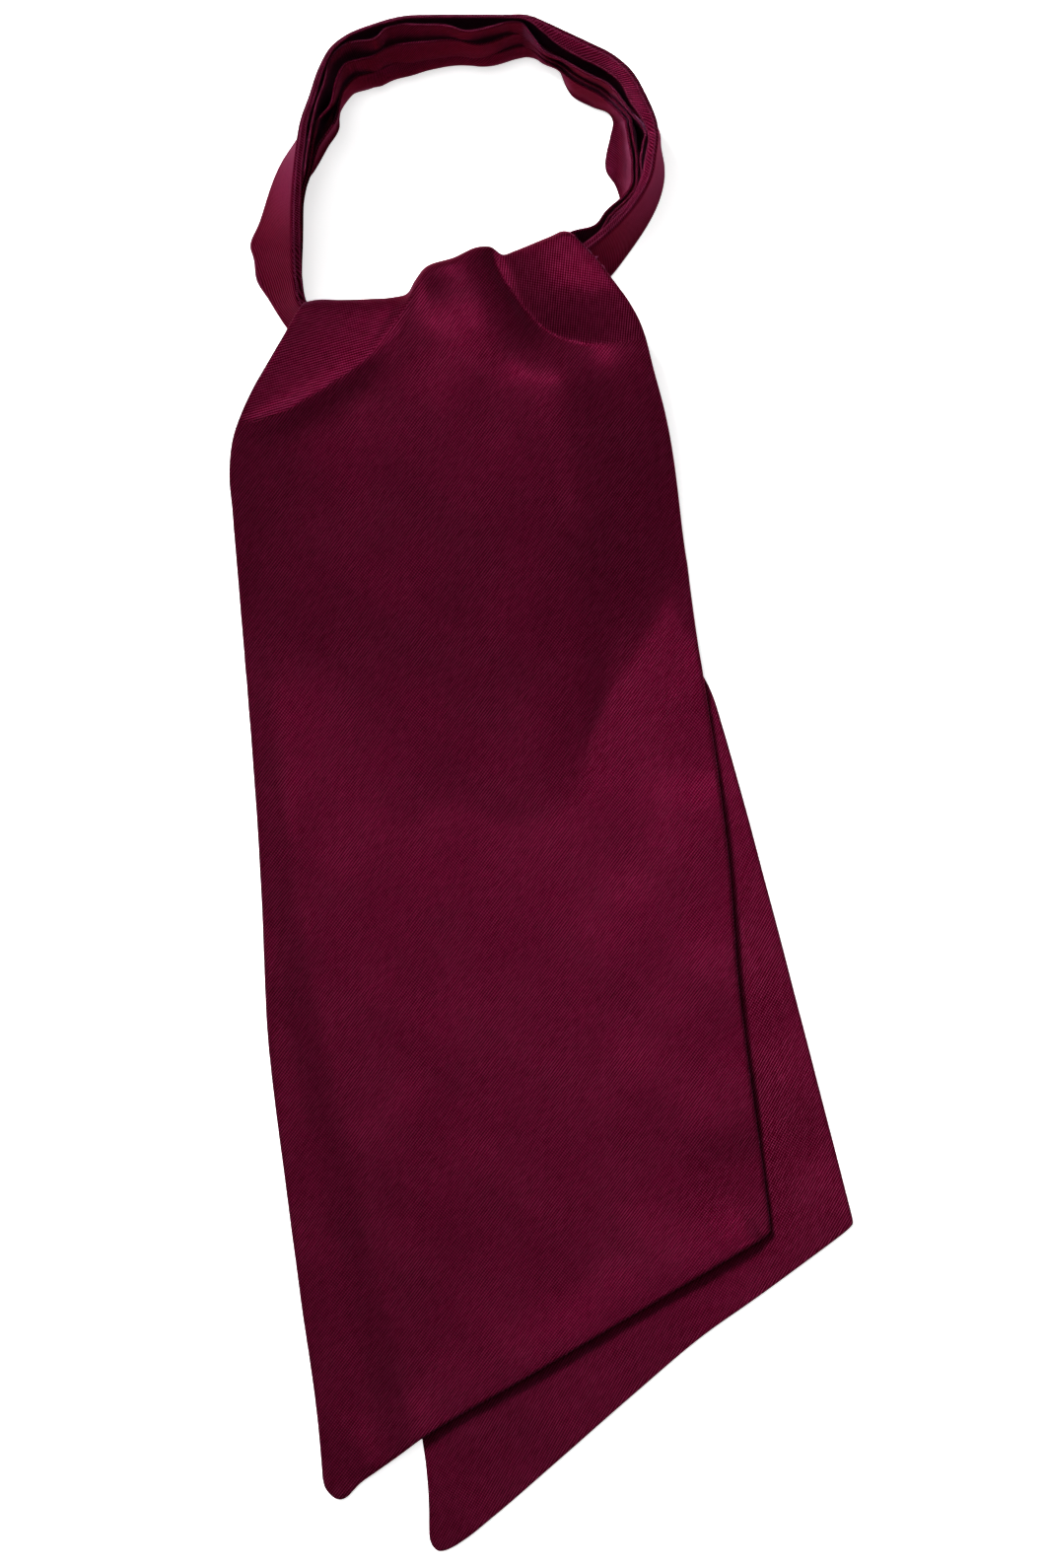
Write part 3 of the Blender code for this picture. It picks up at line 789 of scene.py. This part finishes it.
def over_rear(plan):
    """1 over the rear blade, falling to 0 where the cloth beside it reaches the surface."""
    outline = rear_outline()
    far, _, _ = line_distance(plan, outline)
    ahead = np.roll(outline, -1, axis=0)
    crossings = np.zeros(plan.shape[:-1], int)
    for a, b in zip(outline, ahead):
        spans = (a[1] > plan[..., 1]) != (b[1] > plan[..., 1])
        rise = b[1] - a[1] if b[1] != a[1] else 1e-9
        crossings += spans & (plan[..., 0] < a[0] + (plan[..., 1] - a[1]) / rise * (b[0] - a[0]))
    outside = np.where(crossings % 2 == 1, 0.0, far)
    return 1 - smooth_step((outside - REAR_LEDGE) / REAR_SLOPE)


def front_rows():
    """Shares of the front blade's length at which its rows lie."""
    turns = np.linspace(0, math.pi / 2, ROLL_TURNS + 1)
    places = list(ROLL * (1 - np.cos(turns)))
    step = FOLD_STEP
    while places[-1] + step < FRONT_LENGTH - 2 * EDGE_STEPS[-1]:
        if places[-1] > FOLD_REACH:
            step = min(step * STEP_GROWTH, BODY_STEP)
        places.append(places[-1] + step)
    places += [FRONT_LENGTH - left for left in EDGE_STEPS[::-1]]
    return np.array(places) / FRONT_LENGTH


def front_level(plan, down, top):
    """Height of the front blade's outer surface at each plan point, given how far down the
    blade it is and the top's own table at each column."""
    crest, _, roll, shoulder, hold, fall = top.T[2:]
    base = BLADE_WALL + (BLADE_WALL + GAP) * over_rear(plan)
    fallen = np.clip((down - hold) / fall, 0, 1)
    level = base + (crest - base) * (1 - EVEN_FALL * fallen - (1 - EVEN_FALL) * smooth_step(fallen))
    level += fold_height(plan, FRONT_FOLDS) * smooth_step(down / ROLL + FOLD_START)
    inside = np.clip(1 - down / roll, 0, 1)
    level -= ROLL * (1 - np.sqrt(1 - inside**2))
    level -= shoulder * (1 - smooth_step(down / SHOULDER_REACH))
    drape = fold_height(plan, FRONT_DRAPE) + wave_height(plan, BLADE_WAVES)
    level += drape * smooth_step(down / ROLL / 2)
    return np.maximum(level, base)


def hanging_rows(plan, crest, back):
    """Rows of the cloth that hangs behind the roll, lowest row first."""
    inward = unit(plan[ROLL_TURNS] - plan[0])
    rows = []
    for share in np.linspace(1, 1 / BEHIND_ROWS, BEHIND_ROWS):
        tucked = np.interp(share, BEHIND[::-1, 0], BEHIND[::-1, 1])
        height = crest + (np.minimum(back, crest - LEAST_DROP) - crest) * share
        place = brought_in(plan[0] + inward * tucked, height)
        rows.append(np.concatenate([place, height[:, None]], axis=-1)[None])
    return rows


def front_grid(rows, columns):
    """The front blade's outer surface, as rows of points from behind the roll to the end, and
    the plan of its cloth."""
    top = smooth_curve(FRONT_TOP, columns)
    plan = edge_grid(FRONT_LEFT, FRONT_RIGHT, FRONT_END, rows, columns)
    lift = top[:, :2] - plan[0]
    fade = np.clip(1.0 - rows * FRONT_LENGTH / TOP_REACH, 0, 1) ** 2
    plan += fade[:, None, None] * lift[None]
    plan = softened(plan, FRONT_RIGHT[-1], unit(np.array(FRONT_CORNER_IN)), CORNER_SOFT)
    level = front_level(plan, run_along(plan), top)
    body = np.concatenate([brought_in(plan, level), level[..., None]], axis=-1)
    grid = np.concatenate(hanging_rows(plan, level[0], top[:, 3]) + [body])
    return grid, np.concatenate([np.repeat(plan[:1], BEHIND_ROWS, axis=0), plan])


def grid_normals(grid):
    """Unit normals of a grid of points, up where it lies flat."""
    return unit(np.cross(np.gradient(grid, axis=0), np.gradient(grid, axis=1)))


def from_edges(grid):
    """Distance of each point of a grid from the nearest edge of the cloth, along the cloth."""
    down = run_along(grid)
    over = run_along(grid.swapaxes(0, 1)).T
    return np.minimum(np.minimum(down, down[-1] - down), np.minimum(over, over[:, -1:] - over))


def soft_wall(outer, wall, floor):
    """Points and faces of a closed wall under a surface, with its edges turned in a half
    circle, and for each point the grid point that it belongs to."""
    row_count, column_count = outer.shape[:2]
    half = wall / 2
    normals = grid_normals(outer)
    inside = np.clip(from_edges(outer) / half, 0, 1)
    swell = np.sqrt(1 - (1 - inside) ** 2)[..., None]
    middle = outer - normals * half
    upper = middle + normals * half * swell
    lower = middle - normals * half * swell
    lower[..., 2] = np.maximum(lower[..., 2], floor)
    index = np.arange(row_count * column_count).reshape(row_count, column_count)
    under = index + index.size
    for edge in (np.s_[0, :], np.s_[-1, :], np.s_[:, 0], np.s_[:, -1]):
        under[edge] = index[edge]
    top = np.stack([index[:-1, :-1], index[1:, :-1], index[1:, 1:], index[:-1, 1:]], axis=-1)
    bottom = np.stack([under[:-1, :-1], under[:-1, 1:], under[1:, 1:], under[1:, :-1]], axis=-1)
    points = np.concatenate([upper.reshape(-1, 3), lower.reshape(-1, 3)])
    faces = np.concatenate([top.reshape(-1, 4), bottom.reshape(-1, 4)])
    return points, faces, np.tile(index.ravel(), 2)


def turned(plan, degrees):
    """Plan points in the directions of the threads."""
    angle = math.radians(degrees)
    across = plan[..., 0] * math.sin(angle) - plan[..., 1] * math.cos(angle)
    along = plan[..., 0] * math.cos(angle) + plan[..., 1] * math.sin(angle)
    return np.stack([across, along], axis=-1)


def cloth_plan(grid, plan):
    """The plan of a blade's cloth, drawn out where it hangs behind the roll."""
    deep = np.linalg.norm(np.diff(grid, axis=0), axis=-1)
    flat = np.linalg.norm(np.diff(plan, axis=0), axis=-1)
    extra = np.maximum(deep - flat, 0)
    extra[BEHIND_ROWS + ROLL_TURNS:] = 0
    extra = np.cumsum(np.concatenate([extra, np.zeros((1, grid.shape[1]))])[::-1], axis=0)[::-1]
    return plan + extra[..., None] * np.array([0.0, 1.0])


def front_threads(plan):
    """Direction of the front blade's threads: the two facets beside the knot lie in other
    directions than the rest."""
    paths = {fold[0]: np.array(fold[-1], float) for fold in FRONT_FOLDS}
    _, left_side, _ = line_distance(plan, paths["left ridge"])
    _, right_side, _ = line_distance(plan, paths["right valley"])
    x, y = plan[..., 0], plan[..., 1]
    left = (left_side < 0) & (x < LEFT_FACET_CORNER[0]) & (y > LEFT_FACET_CORNER[1])
    right = (right_side > 0) & (x > RIGHT_FACET_CORNER[0]) & (y > RIGHT_FACET_CORNER[1])
    return np.where(left, LEFT_FACET_THREADS, np.where(right, RIGHT_FACET_THREADS, FRONT_THREADS))


def across_line(rim, inwards, line):
    """How far into the loop from each place on the rim a line of points is met."""
    start = line[:-1]
    run = np.diff(line, axis=0)
    off = start[None] - rim[:, None]
    turn = inwards[:, None, 0] * run[None, :, 1] - inwards[:, None, 1] * run[None, :, 0]
    turn = np.where(np.abs(turn) < 1e-9, 1e-9, turn)
    far = (off[..., 0] * run[:, 1] - off[..., 1] * run[:, 0]) / turn
    share = (off[..., 0] * inwards[:, None, 1] - off[..., 1] * inwards[:, None, 0]) / turn
    met = (share >= 0) & (share <= 1) & (np.abs(far) < FOOT_REACH)
    far = np.where(met, far, np.inf)
    nearest = far[np.arange(len(rim)), np.abs(far).argmin(axis=1)]
    found = np.isfinite(nearest)
    place = np.arange(len(rim))
    return np.interp(place, place[found], nearest[found])


def ply_edges(rim, inwards, rim_height, lower, outer_foot, stride):
    """How far into the loop each ply's folded edge is, clear of the ply outside it."""
    edges = [np.zeros(len(rim))]
    for ply, line in enumerate((EDGE_1, EDGE_2, EDGE_3)):
        foot = outer_foot + stride * ply
        share = (rim_height - lower[ply + 1]) / (rim_height - lower[ply])
        beside = foot + (edges[ply] - foot) * share
        seen = across_line(rim, inwards, smooth_line(line))
        edges.append(np.maximum(seen, beside + PLY_STEP))
    return edges


def outer_line(foot, edge, top, lip, stride, bulge):
    """The outer ply's mid-line, from its turned-in foot to its rolled edge."""
    low = np.full(len(foot), BAND_WALL / 2)
    under = len(PLIES) * stride - BAND_WALL - 2 * GAP
    line = [(foot + under * t, low) for t in UNDER_RUN]
    for t in np.linspace(OUTER_START, FACE_END, BAND_LEVELS):
        bow = bulge * math.sin(math.pi * t) * OUTER_BULGE
        line.append((foot + (edge - foot) * t + bow, low + (top - low) * t**TOE_RISE))
    line.append((edge + EDGE_TURN, top))
    for t in np.linspace(1 / LIP_LEVELS, 1, LIP_LEVELS):
        reach = EDGE_TURN + (LIP_TURN + lip) * t
        line.append((edge + reach, top - LIP_FALL * reach * t))
    return line


def pleat_line(foot, edge, top, stride, bulge):
    """The mid-line of a ply that stands on the outer one's foot, up to its folded edge."""
    low = BAND_WALL / 2 + BAND_WALL + GAP
    room = stride - BAND_WALL - GAP
    line = []
    for t in np.linspace(0, FACE_END, BAND_LEVELS):
        bow = bulge * math.sin(math.pi * t) + room * (1 - t) ** TOE_TURN
        line.append((foot + (edge - foot) * t + bow, low + (top - low) * t**TOE_RISE))
    line.append((edge + EDGE_TURN, top))
    return line


def band_sections(stations):
    """For each ply, the mid-line of its section at each station, from its foot to its edge, as
    distances into the loop from the outer ply's edge and heights."""
    shares = np.linspace(0, 1, stations)
    loop = smooth_curve(LOOP, shares)
    rim, rim_height, facing, lip = loop[:, :2], loop[:, 2], np.radians(loop[:, 3]), loop[:, 4]
    length = run_along(rim)[-1]
    inwards = np.stack([np.cos(facing), np.sin(facing)], axis=-1)
    outer_foot = across_line(rim, inwards, smooth_line(OUTER_FOOT))
    inner_foot = across_line(rim, inwards, smooth_line(INNER_FOOT)) + BAND_WALL / 2 + GAP
    stride = np.maximum((inner_foot - outer_foot) / len(PLIES), PLY_STEP)
    lower = [np.zeros(stations)] + [np.interp(shares, DROPS[:, 0], DROPS[:, k]) for k in (1, 2, 3)]
    edges = ply_edges(rim, inwards, rim_height, lower, outer_foot, stride)
    wave = sum(h * np.sin(2 * math.pi * shares * length / long + start)
               for h, long, start in BAND_WAVES)
    bulge = np.interp(shares, DROPS[:, 0], DROPS[:, 4]) - wave
    plies = []
    for ply, edge in enumerate(edges):
        foot = outer_foot + stride * ply
        top = rim_height - lower[ply] - BAND_WALL / 2
        if ply == 0:
            line = outer_line(foot, edge, top, np.maximum(lip, 0), stride, bulge)
        else:
            line = pleat_line(foot, edge, top, stride, bulge)
        plies.append((rim, inwards, [np.stack(np.broadcast_arrays(*p), axis=-1) for p in line]))
    return plies


def ring_round(line):
    """Closed section of a strip of cloth round its mid-line, with rounded ends."""
    along = unit(np.gradient(line, axis=0))
    across = np.stack([-along[:, 1], along[:, 0]], axis=-1) * BAND_WALL / 2
    turn = np.radians(NOSE_TURNS)
    ahead = along[-1] * BAND_WALL / 2
    nose = [line[-1] + ahead * math.cos(a) + across[-1] * math.sin(a) for a in turn]
    toe = line[0] - along[0] * BAND_WALL / 2
    ring = np.concatenate([[toe], line - across, nose, (line + across)[::-1]])
    ring[:, 1] = np.maximum(ring[:, 1], 0)
    return ring


def tube(rings):
    """Points and faces of a loft through closed rings, with flat ends."""
    count = len(rings[0])
    faces = [tuple(range(count)), tuple(range((len(rings) - 1) * count, len(rings) * count))[::-1]]
    for i in range(len(rings) - 1):
        for j in range(count):
            a, b = i * count + j, i * count + (j + 1) % count
            faces.append((a, b, b + count, a + count))
    return np.concatenate(rings), faces


def stitch_solid():
    """Points and faces of one stitch, pointed at both ends, along X."""
    turn = np.linspace(0, 2 * math.pi, STITCH_SIDES, endpoint=False)
    points = [(-1.0, 0.0, 0.0)]
    for tilt in np.linspace(-math.pi / 2, math.pi / 2, STITCH_RINGS + 2)[1:-1]:
        radius = math.cos(tilt)
        points += [(math.sin(tilt), radius * math.cos(a), radius * math.sin(a)) for a in turn]
    points.append((1.0, 0.0, 0.0))
    last = len(points) - 1
    faces = []
    for j in range(STITCH_SIDES):
        k = (j + 1) % STITCH_SIDES
        faces.append((0, 1 + k, 1 + j))
        faces.append((last, last - STITCH_SIDES + j, last - STITCH_SIDES + k))
        for ring in range(STITCH_RINGS - 1):
            a, b = 1 + ring * STITCH_SIDES + j, 1 + ring * STITCH_SIDES + k
            faces.append((a, b, b + STITCH_SIDES, a + STITCH_SIDES))
    return np.array(points) * np.array(STITCH_HALF), faces


def stitch_row(rim, inwards, place):
    """Small slanted stitches on top of a ply along the loop, at the given place in its section,
    with their place in the weave."""
    plan = brought_in(rim + place[:, :1] * inwards, place[:, 1])
    path = np.concatenate([plan, place[:, 1:] + BAND_WALL / 2], axis=-1)
    length = run_along(path)
    at = np.arange(STITCH_PITCH, length[-1], STITCH_PITCH)
    middle = np.stack([np.interp(at, length, column) for column in path.T], axis=-1)
    along = unit(np.stack([np.interp(at, length, column)
                           for column in np.gradient(path, axis=0).T], axis=-1))
    over = unit(np.stack([-along[:, 1], along[:, 0], 0 * at], axis=-1))
    slant = math.radians(STITCH_SLANT)
    long = along * math.cos(slant) + over * math.sin(slant)
    wide = over * math.cos(slant) - along * math.sin(slant)
    solid, faces = stitch_solid()
    points = middle[:, None] + (
        solid[None, :, :1] * long[:, None] + solid[None, :, 1:2] * wide[:, None]
        + solid[None, :, 2:] * np.cross(long, wide)[:, None])
    every = [tuple(i * len(solid) + v for v in face) for i in range(len(at)) for face in faces]
    return points.reshape(-1, 3), every, np.full((points.size // 3, 2), STITCH_TONE)


def band_ply(rim, inwards, line, rows):
    """One ply of the neckband with its rows of stitches, and its thread coordinates."""
    rings = []
    threads = []
    run = run_along(rim)
    for k in range(len(rim)):
        ring = ring_round(np.array([p[k] for p in line]))
        plan = brought_in(rim[k] + ring[:, :1] * inwards[k], ring[:, 1])
        rings.append(np.concatenate([plan, ring[:, 1:]], axis=-1))
        threads.append(np.stack([np.full(len(ring), run[k]), run_along(ring)], axis=-1))
    points, faces = tube(rings)
    threads = turned(np.concatenate(threads), BAND_THREADS)
    for row in rows:
        more, more_faces, more_threads = stitch_row(rim, inwards, line[row])
        faces += [tuple(len(points) + v for v in face) for face in more_faces]
        points = np.concatenate([points, more])
        threads = np.concatenate([threads, more_threads])
    return points, faces, threads


def knot_layers(cover):
    """The knot's hidden turns: a loft of rings that bulge once for each layer, under a cover."""
    cover = cover[::COVER_STEP, ::COVER_STEP].reshape(-1, 3)
    angles = np.linspace(0, 2 * math.pi, KNOT_SIDES, endpoint=False)
    turn = math.radians(KNOT_TURN)
    rings = []
    threads = []
    for share in np.linspace(0, 1, KNOT_RINGS + 1):
        layer = (share * KNOT_LAYERS) % 1.0
        bulge = KNOT_LAYER_BULGE * math.sin(math.pi * layer)
        shrink = math.sqrt(max(1 - share**3, KNOT_CROWN))
        x = (KNOT_HALF_LENGTH * shrink + bulge) * np.cos(angles)
        y = (KNOT_HALF_WIDTH * shrink + bulge) * np.sin(angles)
        plan = np.stack([
            KNOT_AT[0] + x * math.cos(turn) - y * math.sin(turn),
            KNOT_AT[1] + x * math.sin(turn) + y * math.cos(turn),
        ], axis=-1)
        near = np.linalg.norm(plan[:, None] - cover[None, :, :2], axis=-1) < KNOT_CLEAR
        room = np.where(near, cover[None, :, 2], np.inf).min(axis=1) - GAP - BLADE_WALL
        height = np.minimum(KNOT_HEIGHT, room) * share
        rings.append(np.concatenate([plan, height[:, None]], axis=-1))
        threads.append(np.stack([angles * KNOT_HALF_LENGTH, height], axis=-1))
    points, faces = tube(rings)
    return points, faces, turned(np.concatenate(threads), BAND_THREADS)


def placed(name, data):
    """A new object in the scene."""
    holder = bpy.data.objects.new(name, data)
    bpy.context.scene.collection.objects.link(holder)
    return holder


def set_inputs(node, values):
    """Sets a node's inputs by their names."""
    for name, value in values.items():
        node.inputs[name].default_value = value


def math_node(tree, operation, first, second=None):
    """One or two values through an operation."""
    node = tree.nodes.new("ShaderNodeMath")
    node.operation = operation
    for socket, value in zip(node.inputs, (first, second)):
        if isinstance(value, bpy.types.NodeSocket):
            tree.links.new(value, socket)
        elif value is not None:
            socket.default_value = value
    return node.outputs[0]


def stretched(tree, vector, scale):
    """A vector times a scale along each axis."""
    node = tree.nodes.new("ShaderNodeVectorMath")
    node.operation = "MULTIPLY"
    tree.links.new(vector, node.inputs[0])
    node.inputs[1].default_value = scale
    return node.outputs[0]


def noise(tree, vector, scale, detail=2.0):
    """Soft noise, from 0 to 1 about 0.5."""
    node = tree.nodes.new("ShaderNodeTexNoise")
    tree.links.new(vector, node.inputs["Vector"])
    set_inputs(node, {"Scale": scale, "Detail": detail})
    return node


def map_range(tree, value, source, target):
    """A value taken from one range to another."""
    node = tree.nodes.new("ShaderNodeMapRange")
    set_inputs(node, {"From Min": source[0], "From Max": source[1],
                      "To Min": target[0], "To Max": target[1]})
    tree.links.new(value, node.inputs["Value"])
    return node.outputs[0]


def twill(tree, plane):
    """Two sets of fine diagonals that cross, the second fainter than the first."""
    drift = noise(tree, plane, WANDER_SCALE, 1.0)
    wander = tree.nodes.new("ShaderNodeVectorMath")
    wander.operation = "MULTIPLY_ADD"
    tree.links.new(drift.outputs["Color"], wander.inputs[0])
    wander.inputs[1].default_value = WANDER
    tree.links.new(plane, wander.inputs[2])
    split = tree.nodes.new("ShaderNodeSeparateXYZ")
    tree.links.new(wander.outputs[0], split.inputs[0])
    turn = 2 * math.pi / TWILL
    warp = math_node(tree, "SINE", math_node(tree, "MULTIPLY", split.outputs["X"], turn))
    askew = math_node(tree, "MULTIPLY", split.outputs["X"], WEFT_SKEW)
    weft = math_node(tree, "ADD", split.outputs["Y"], askew)
    weft = math_node(tree, "SINE", math_node(tree, "MULTIPLY", weft, turn))

    patch = noise(tree, plane, PATCH_SCALE, 2.0).outputs["Fac"]
    share = map_range(tree, patch, PATCH_NOISE, WARP_SHARE)
    warp = math_node(tree, "MULTIPLY", warp, share)
    weft = math_node(tree, "MULTIPLY", weft, math_node(tree, "SUBTRACT", 1.0, share))
    crossing = math_node(tree, "MULTIPLY", math_node(tree, "MULTIPLY", warp, weft), CROSSING)
    return math_node(tree, "ADD", math_node(tree, "ADD", warp, weft), crossing)


def uneven_threads(tree, plane):
    """Tone of the thick and thin threads and of cloudy places."""
    slubs = noise(tree, stretched(tree, plane, SLUB_SCALE), 1.0, 2.0).outputs["Fac"]
    mottle = noise(tree, plane, MOTTLE_SCALE, 3.0).outputs["Fac"]
    uneven = math_node(tree, "ADD", math_node(tree, "MULTIPLY", slubs, SLUB_TONE),
                       math_node(tree, "MULTIPLY", mottle, MOTTLE_TONE))
    return math_node(tree, "ADD", uneven, BASE_TONE)


def silk_colours(tree, place, tone):
    """The silk's colour at a place between its shade and its light."""
    ramp = tree.nodes.new("ShaderNodeValToRGB")
    tree.links.new(place, ramp.inputs["Fac"])
    ramp.color_ramp.elements.new(TONE_STOPS[1])
    stops = zip(TONE_STOPS, (SILK_SHADE, SILK_BODY, SILK_LIGHT))
    for element, (position, colour) in zip(ramp.color_ramp.elements, stops):
        element.position = position
        # tone scales every colour of the ramp: painted light or shade for a whole piece
        element.color = (*(tone * part for part in colour), 1)
    return ramp.outputs["Color"]


def silk(name, tone=1.0):
    """Satin twill silk, with uneven threads. A tone other than 1 scales all its colours, which paints
    light or shade on a whole piece.
    """
    material = bpy.data.materials.new(name)
    material.use_nodes = True
    tree = material.node_tree
    shader = tree.nodes["Principled BSDF"]
    threads = tree.nodes.new("ShaderNodeUVMap")
    threads.uv_map = "threads"
    plane = threads.outputs["UV"]

    lattice = twill(tree, plane)
    uneven = uneven_threads(tree, plane)
    place = math_node(tree, "ADD", math_node(tree, "MULTIPLY", lattice, WEAVE_TONE), uneven)
    tree.links.new(silk_colours(tree, place, tone), shader.inputs["Base Color"])

    bump = tree.nodes.new("ShaderNodeBump")
    set_inputs(bump, {"Strength": THREAD_BUMP, "Distance": THREAD_HEIGHT * MM})
    tree.links.new(lattice, bump.inputs["Height"])
    tree.links.new(bump.outputs["Normal"], shader.inputs["Normal"])

    set_inputs(shader, {
        "Roughness": SILK_ROUGHNESS,
        "Metallic": SILK_METALLIC,
        "Specular IOR Level": 0.0,
        "Specular Tint": (*SILK_TINT, 1),
        "Sheen Weight": SHEEN,
        "Sheen Roughness": SHEEN_ROUGHNESS,
        "Sheen Tint": (*SILK_SHEEN, 1),
    })
    return material


def add_cloth(name, points, faces, threads, material):
    """A cloth piece that stands for the solid of the same name. threads holds a pair of thread
    coordinates for each point, or for each corner of each face."""
    points = (points - np.array([*MIDDLE, 0.0])) * MM
    mesh = bpy.data.meshes.new(name + "_cloth")
    mesh.from_pydata(points, [], faces)
    corners = np.empty(len(mesh.loops), int)
    mesh.loops.foreach_get("vertex_index", corners)
    layer = mesh.uv_layers.new(name="threads")
    pairs = threads if len(threads) == len(corners) else threads[corners]
    layer.data.foreach_set("uv", np.asarray(pairs, float).ravel())
    mesh.shade_smooth()
    mesh.materials.append(material)
    piece = placed(name + "_cloth", mesh)
    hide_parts(name)
    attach(piece, "root")
    return piece


def build_front(material):
    """The front blade, and its outer surface below the roll."""
    columns = spread_columns(FRONT_COLUMNS, FRONT_WIDTH)
    grid, plan = front_grid(front_rows(), columns)
    floor = (BLADE_WALL + GAP) * over_rear(grid[..., :2])
    points, faces, source = soft_wall(grid, BLADE_WALL, floor)
    cloth = cloth_plan(grid, plan).reshape(-1, 2)
    angle = front_threads(plan).ravel()
    corner = source[faces]
    face_angle = np.round(angle[corner[:, 0]], 1)
    pairs = np.zeros((*faces.shape, 2))
    for degrees in np.unique(face_angle):
        chosen = face_angle == degrees
        pairs[chosen] = turned(cloth[corner[chosen]], degrees)
    piece = add_cloth("front_blade", points, faces, pairs.reshape(-1, 2), material)
    return grid[BEHIND_ROWS:]


def build_rear(material):
    """The rear blade, flat underneath."""
    rows = rear_rows(REAR_ROWS, REAR_LENGTH)
    plan = rear_plan(rows, spread_columns(REAR_COLUMNS, REAR_WIDTH))
    dip = np.clip(wave_height(plan, BLADE_WAVES) + REAR_DIP, 0, None)
    level = REAR_WALL - dip
    outer = np.concatenate([brought_in(plan, level), level[..., None]], axis=-1)
    points, faces, source = soft_wall(outer, REAR_WALL - REAR_DIP, 0.0)
    threads = turned(plan.reshape(-1, 2), REAR_THREADS)[source]
    piece = add_cloth("rear_blade", points, faces, threads, material)


def build_knot(cover, material):
    """The knot's hidden turns."""
    points, faces, threads = knot_layers(cover)
    add_cloth("knot", points, faces, threads, material)


def build_band(material):
    """The neckband's four plies: the outer one's foot is turned in under the others."""
    for (name, width, rows), (rim, inwards, line) in zip(PLIES, band_sections(BAND_STATIONS)):
        points, faces, threads = band_ply(rim, inwards, line, rows)
        piece = add_cloth(name, points, faces, threads, material)


def build_floor():
    """The pale surface that the cravat lies on."""
    material = bpy.data.materials.new("floor_pale")
    material.use_nodes = True
    shader = material.node_tree.nodes["Principled BSDF"]
    set_inputs(shader, {
        "Base Color": (*FLOOR_COLOUR, 1),
        "Roughness": FLOOR_ROUGHNESS,
        "Specular IOR Level": 0.0,
        "Emission Color": (1, 1, 1, 1),
        "Emission Strength": FLOOR_GLOW,
    })
    half = FLOOR_SIZE / 2
    mesh = bpy.data.meshes.new("floor")
    corners = [(-half, -half, 0), (half, -half, 0), (half, half, 0), (-half, half, 0)]
    mesh.from_pydata(corners, [], [(0, 1, 2, 3)])
    mesh.materials.append(material)
    floor = placed("floor", mesh)
    floor.location.z = -FLOOR_DROP


def build_lamp(name, turn_left, rise, far, size, power, spread, aim):
    """A square lamp at a distance from the cravat's middle, aimed at a place near it."""
    lamp = bpy.data.lights.new(name, "AREA")
    lamp.shape = "SQUARE"
    lamp.size = size
    lamp.energy = power
    lamp.spread = math.radians(spread)
    holder = placed(name, lamp)
    turn, up = math.radians(turn_left), math.radians(rise)
    place = Vector((-math.cos(up) * math.sin(turn), math.cos(up) * math.cos(turn), math.sin(up))) * far
    holder.location = place
    holder.rotation_euler = (Vector(aim) - place).to_track_quat("-Z", "Y").to_euler()


def build_light():
    """The lamps and the pale room."""
    for lamp in LAMPS:
        build_lamp(*lamp)
    world = bpy.data.worlds.new("room")
    world.use_nodes = True
    tree = world.node_tree
    place = tree.nodes.new("ShaderNodeTexCoord")
    split = tree.nodes.new("ShaderNodeSeparateXYZ")
    tree.links.new(place.outputs["Generated"], split.inputs[0])
    light = map_range(tree, split.outputs["Z"], (WALL_TOP, CEILING_START),
                      (ROOM_LIGHT, CEILING_LIGHT))
    tree.links.new(light, tree.nodes["Background"].inputs["Strength"])
    tree.nodes["Background"].inputs["Color"].default_value = (1, 1, 1, 1)
    bpy.context.scene.world = world
    bpy.context.scene.view_settings.view_transform = "Standard"


def build_camera():
    """Straight above, framed as in the photograph."""
    camera = bpy.data.cameras.new("camera")
    camera.sensor_width = SENSOR
    camera.lens = SENSOR * EYE_HEIGHT / (PICTURE[1] / PIXELS_PER_MM)
    holder = placed("camera", camera)
    holder.location = (
        (PICTURE_MIDDLE[0] - MIDDLE[0]) * MM,
        (PICTURE_MIDDLE[1] - MIDDLE[1]) * MM,
        EYE_HEIGHT * MM,
    )
    bpy.context.scene.camera = holder


def main():
    """Dresses the frame."""
    build_camera()
    build_light()
    build_floor()
    blade = silk("blade_silk")
    # The rear blade gets a lighter copy of the silk: painted light
    build_rear(silk("rear_silk_painted_light", REAR_PAINTED_LIGHT))
    cover = build_front(blade)
    # The knot gets a darker copy of the silk: painted shade
    build_knot(cover, silk("knot_silk_painted_shade", KNOT_PAINTED_SHADE))
    build_band(silk("band_silk"))


main()
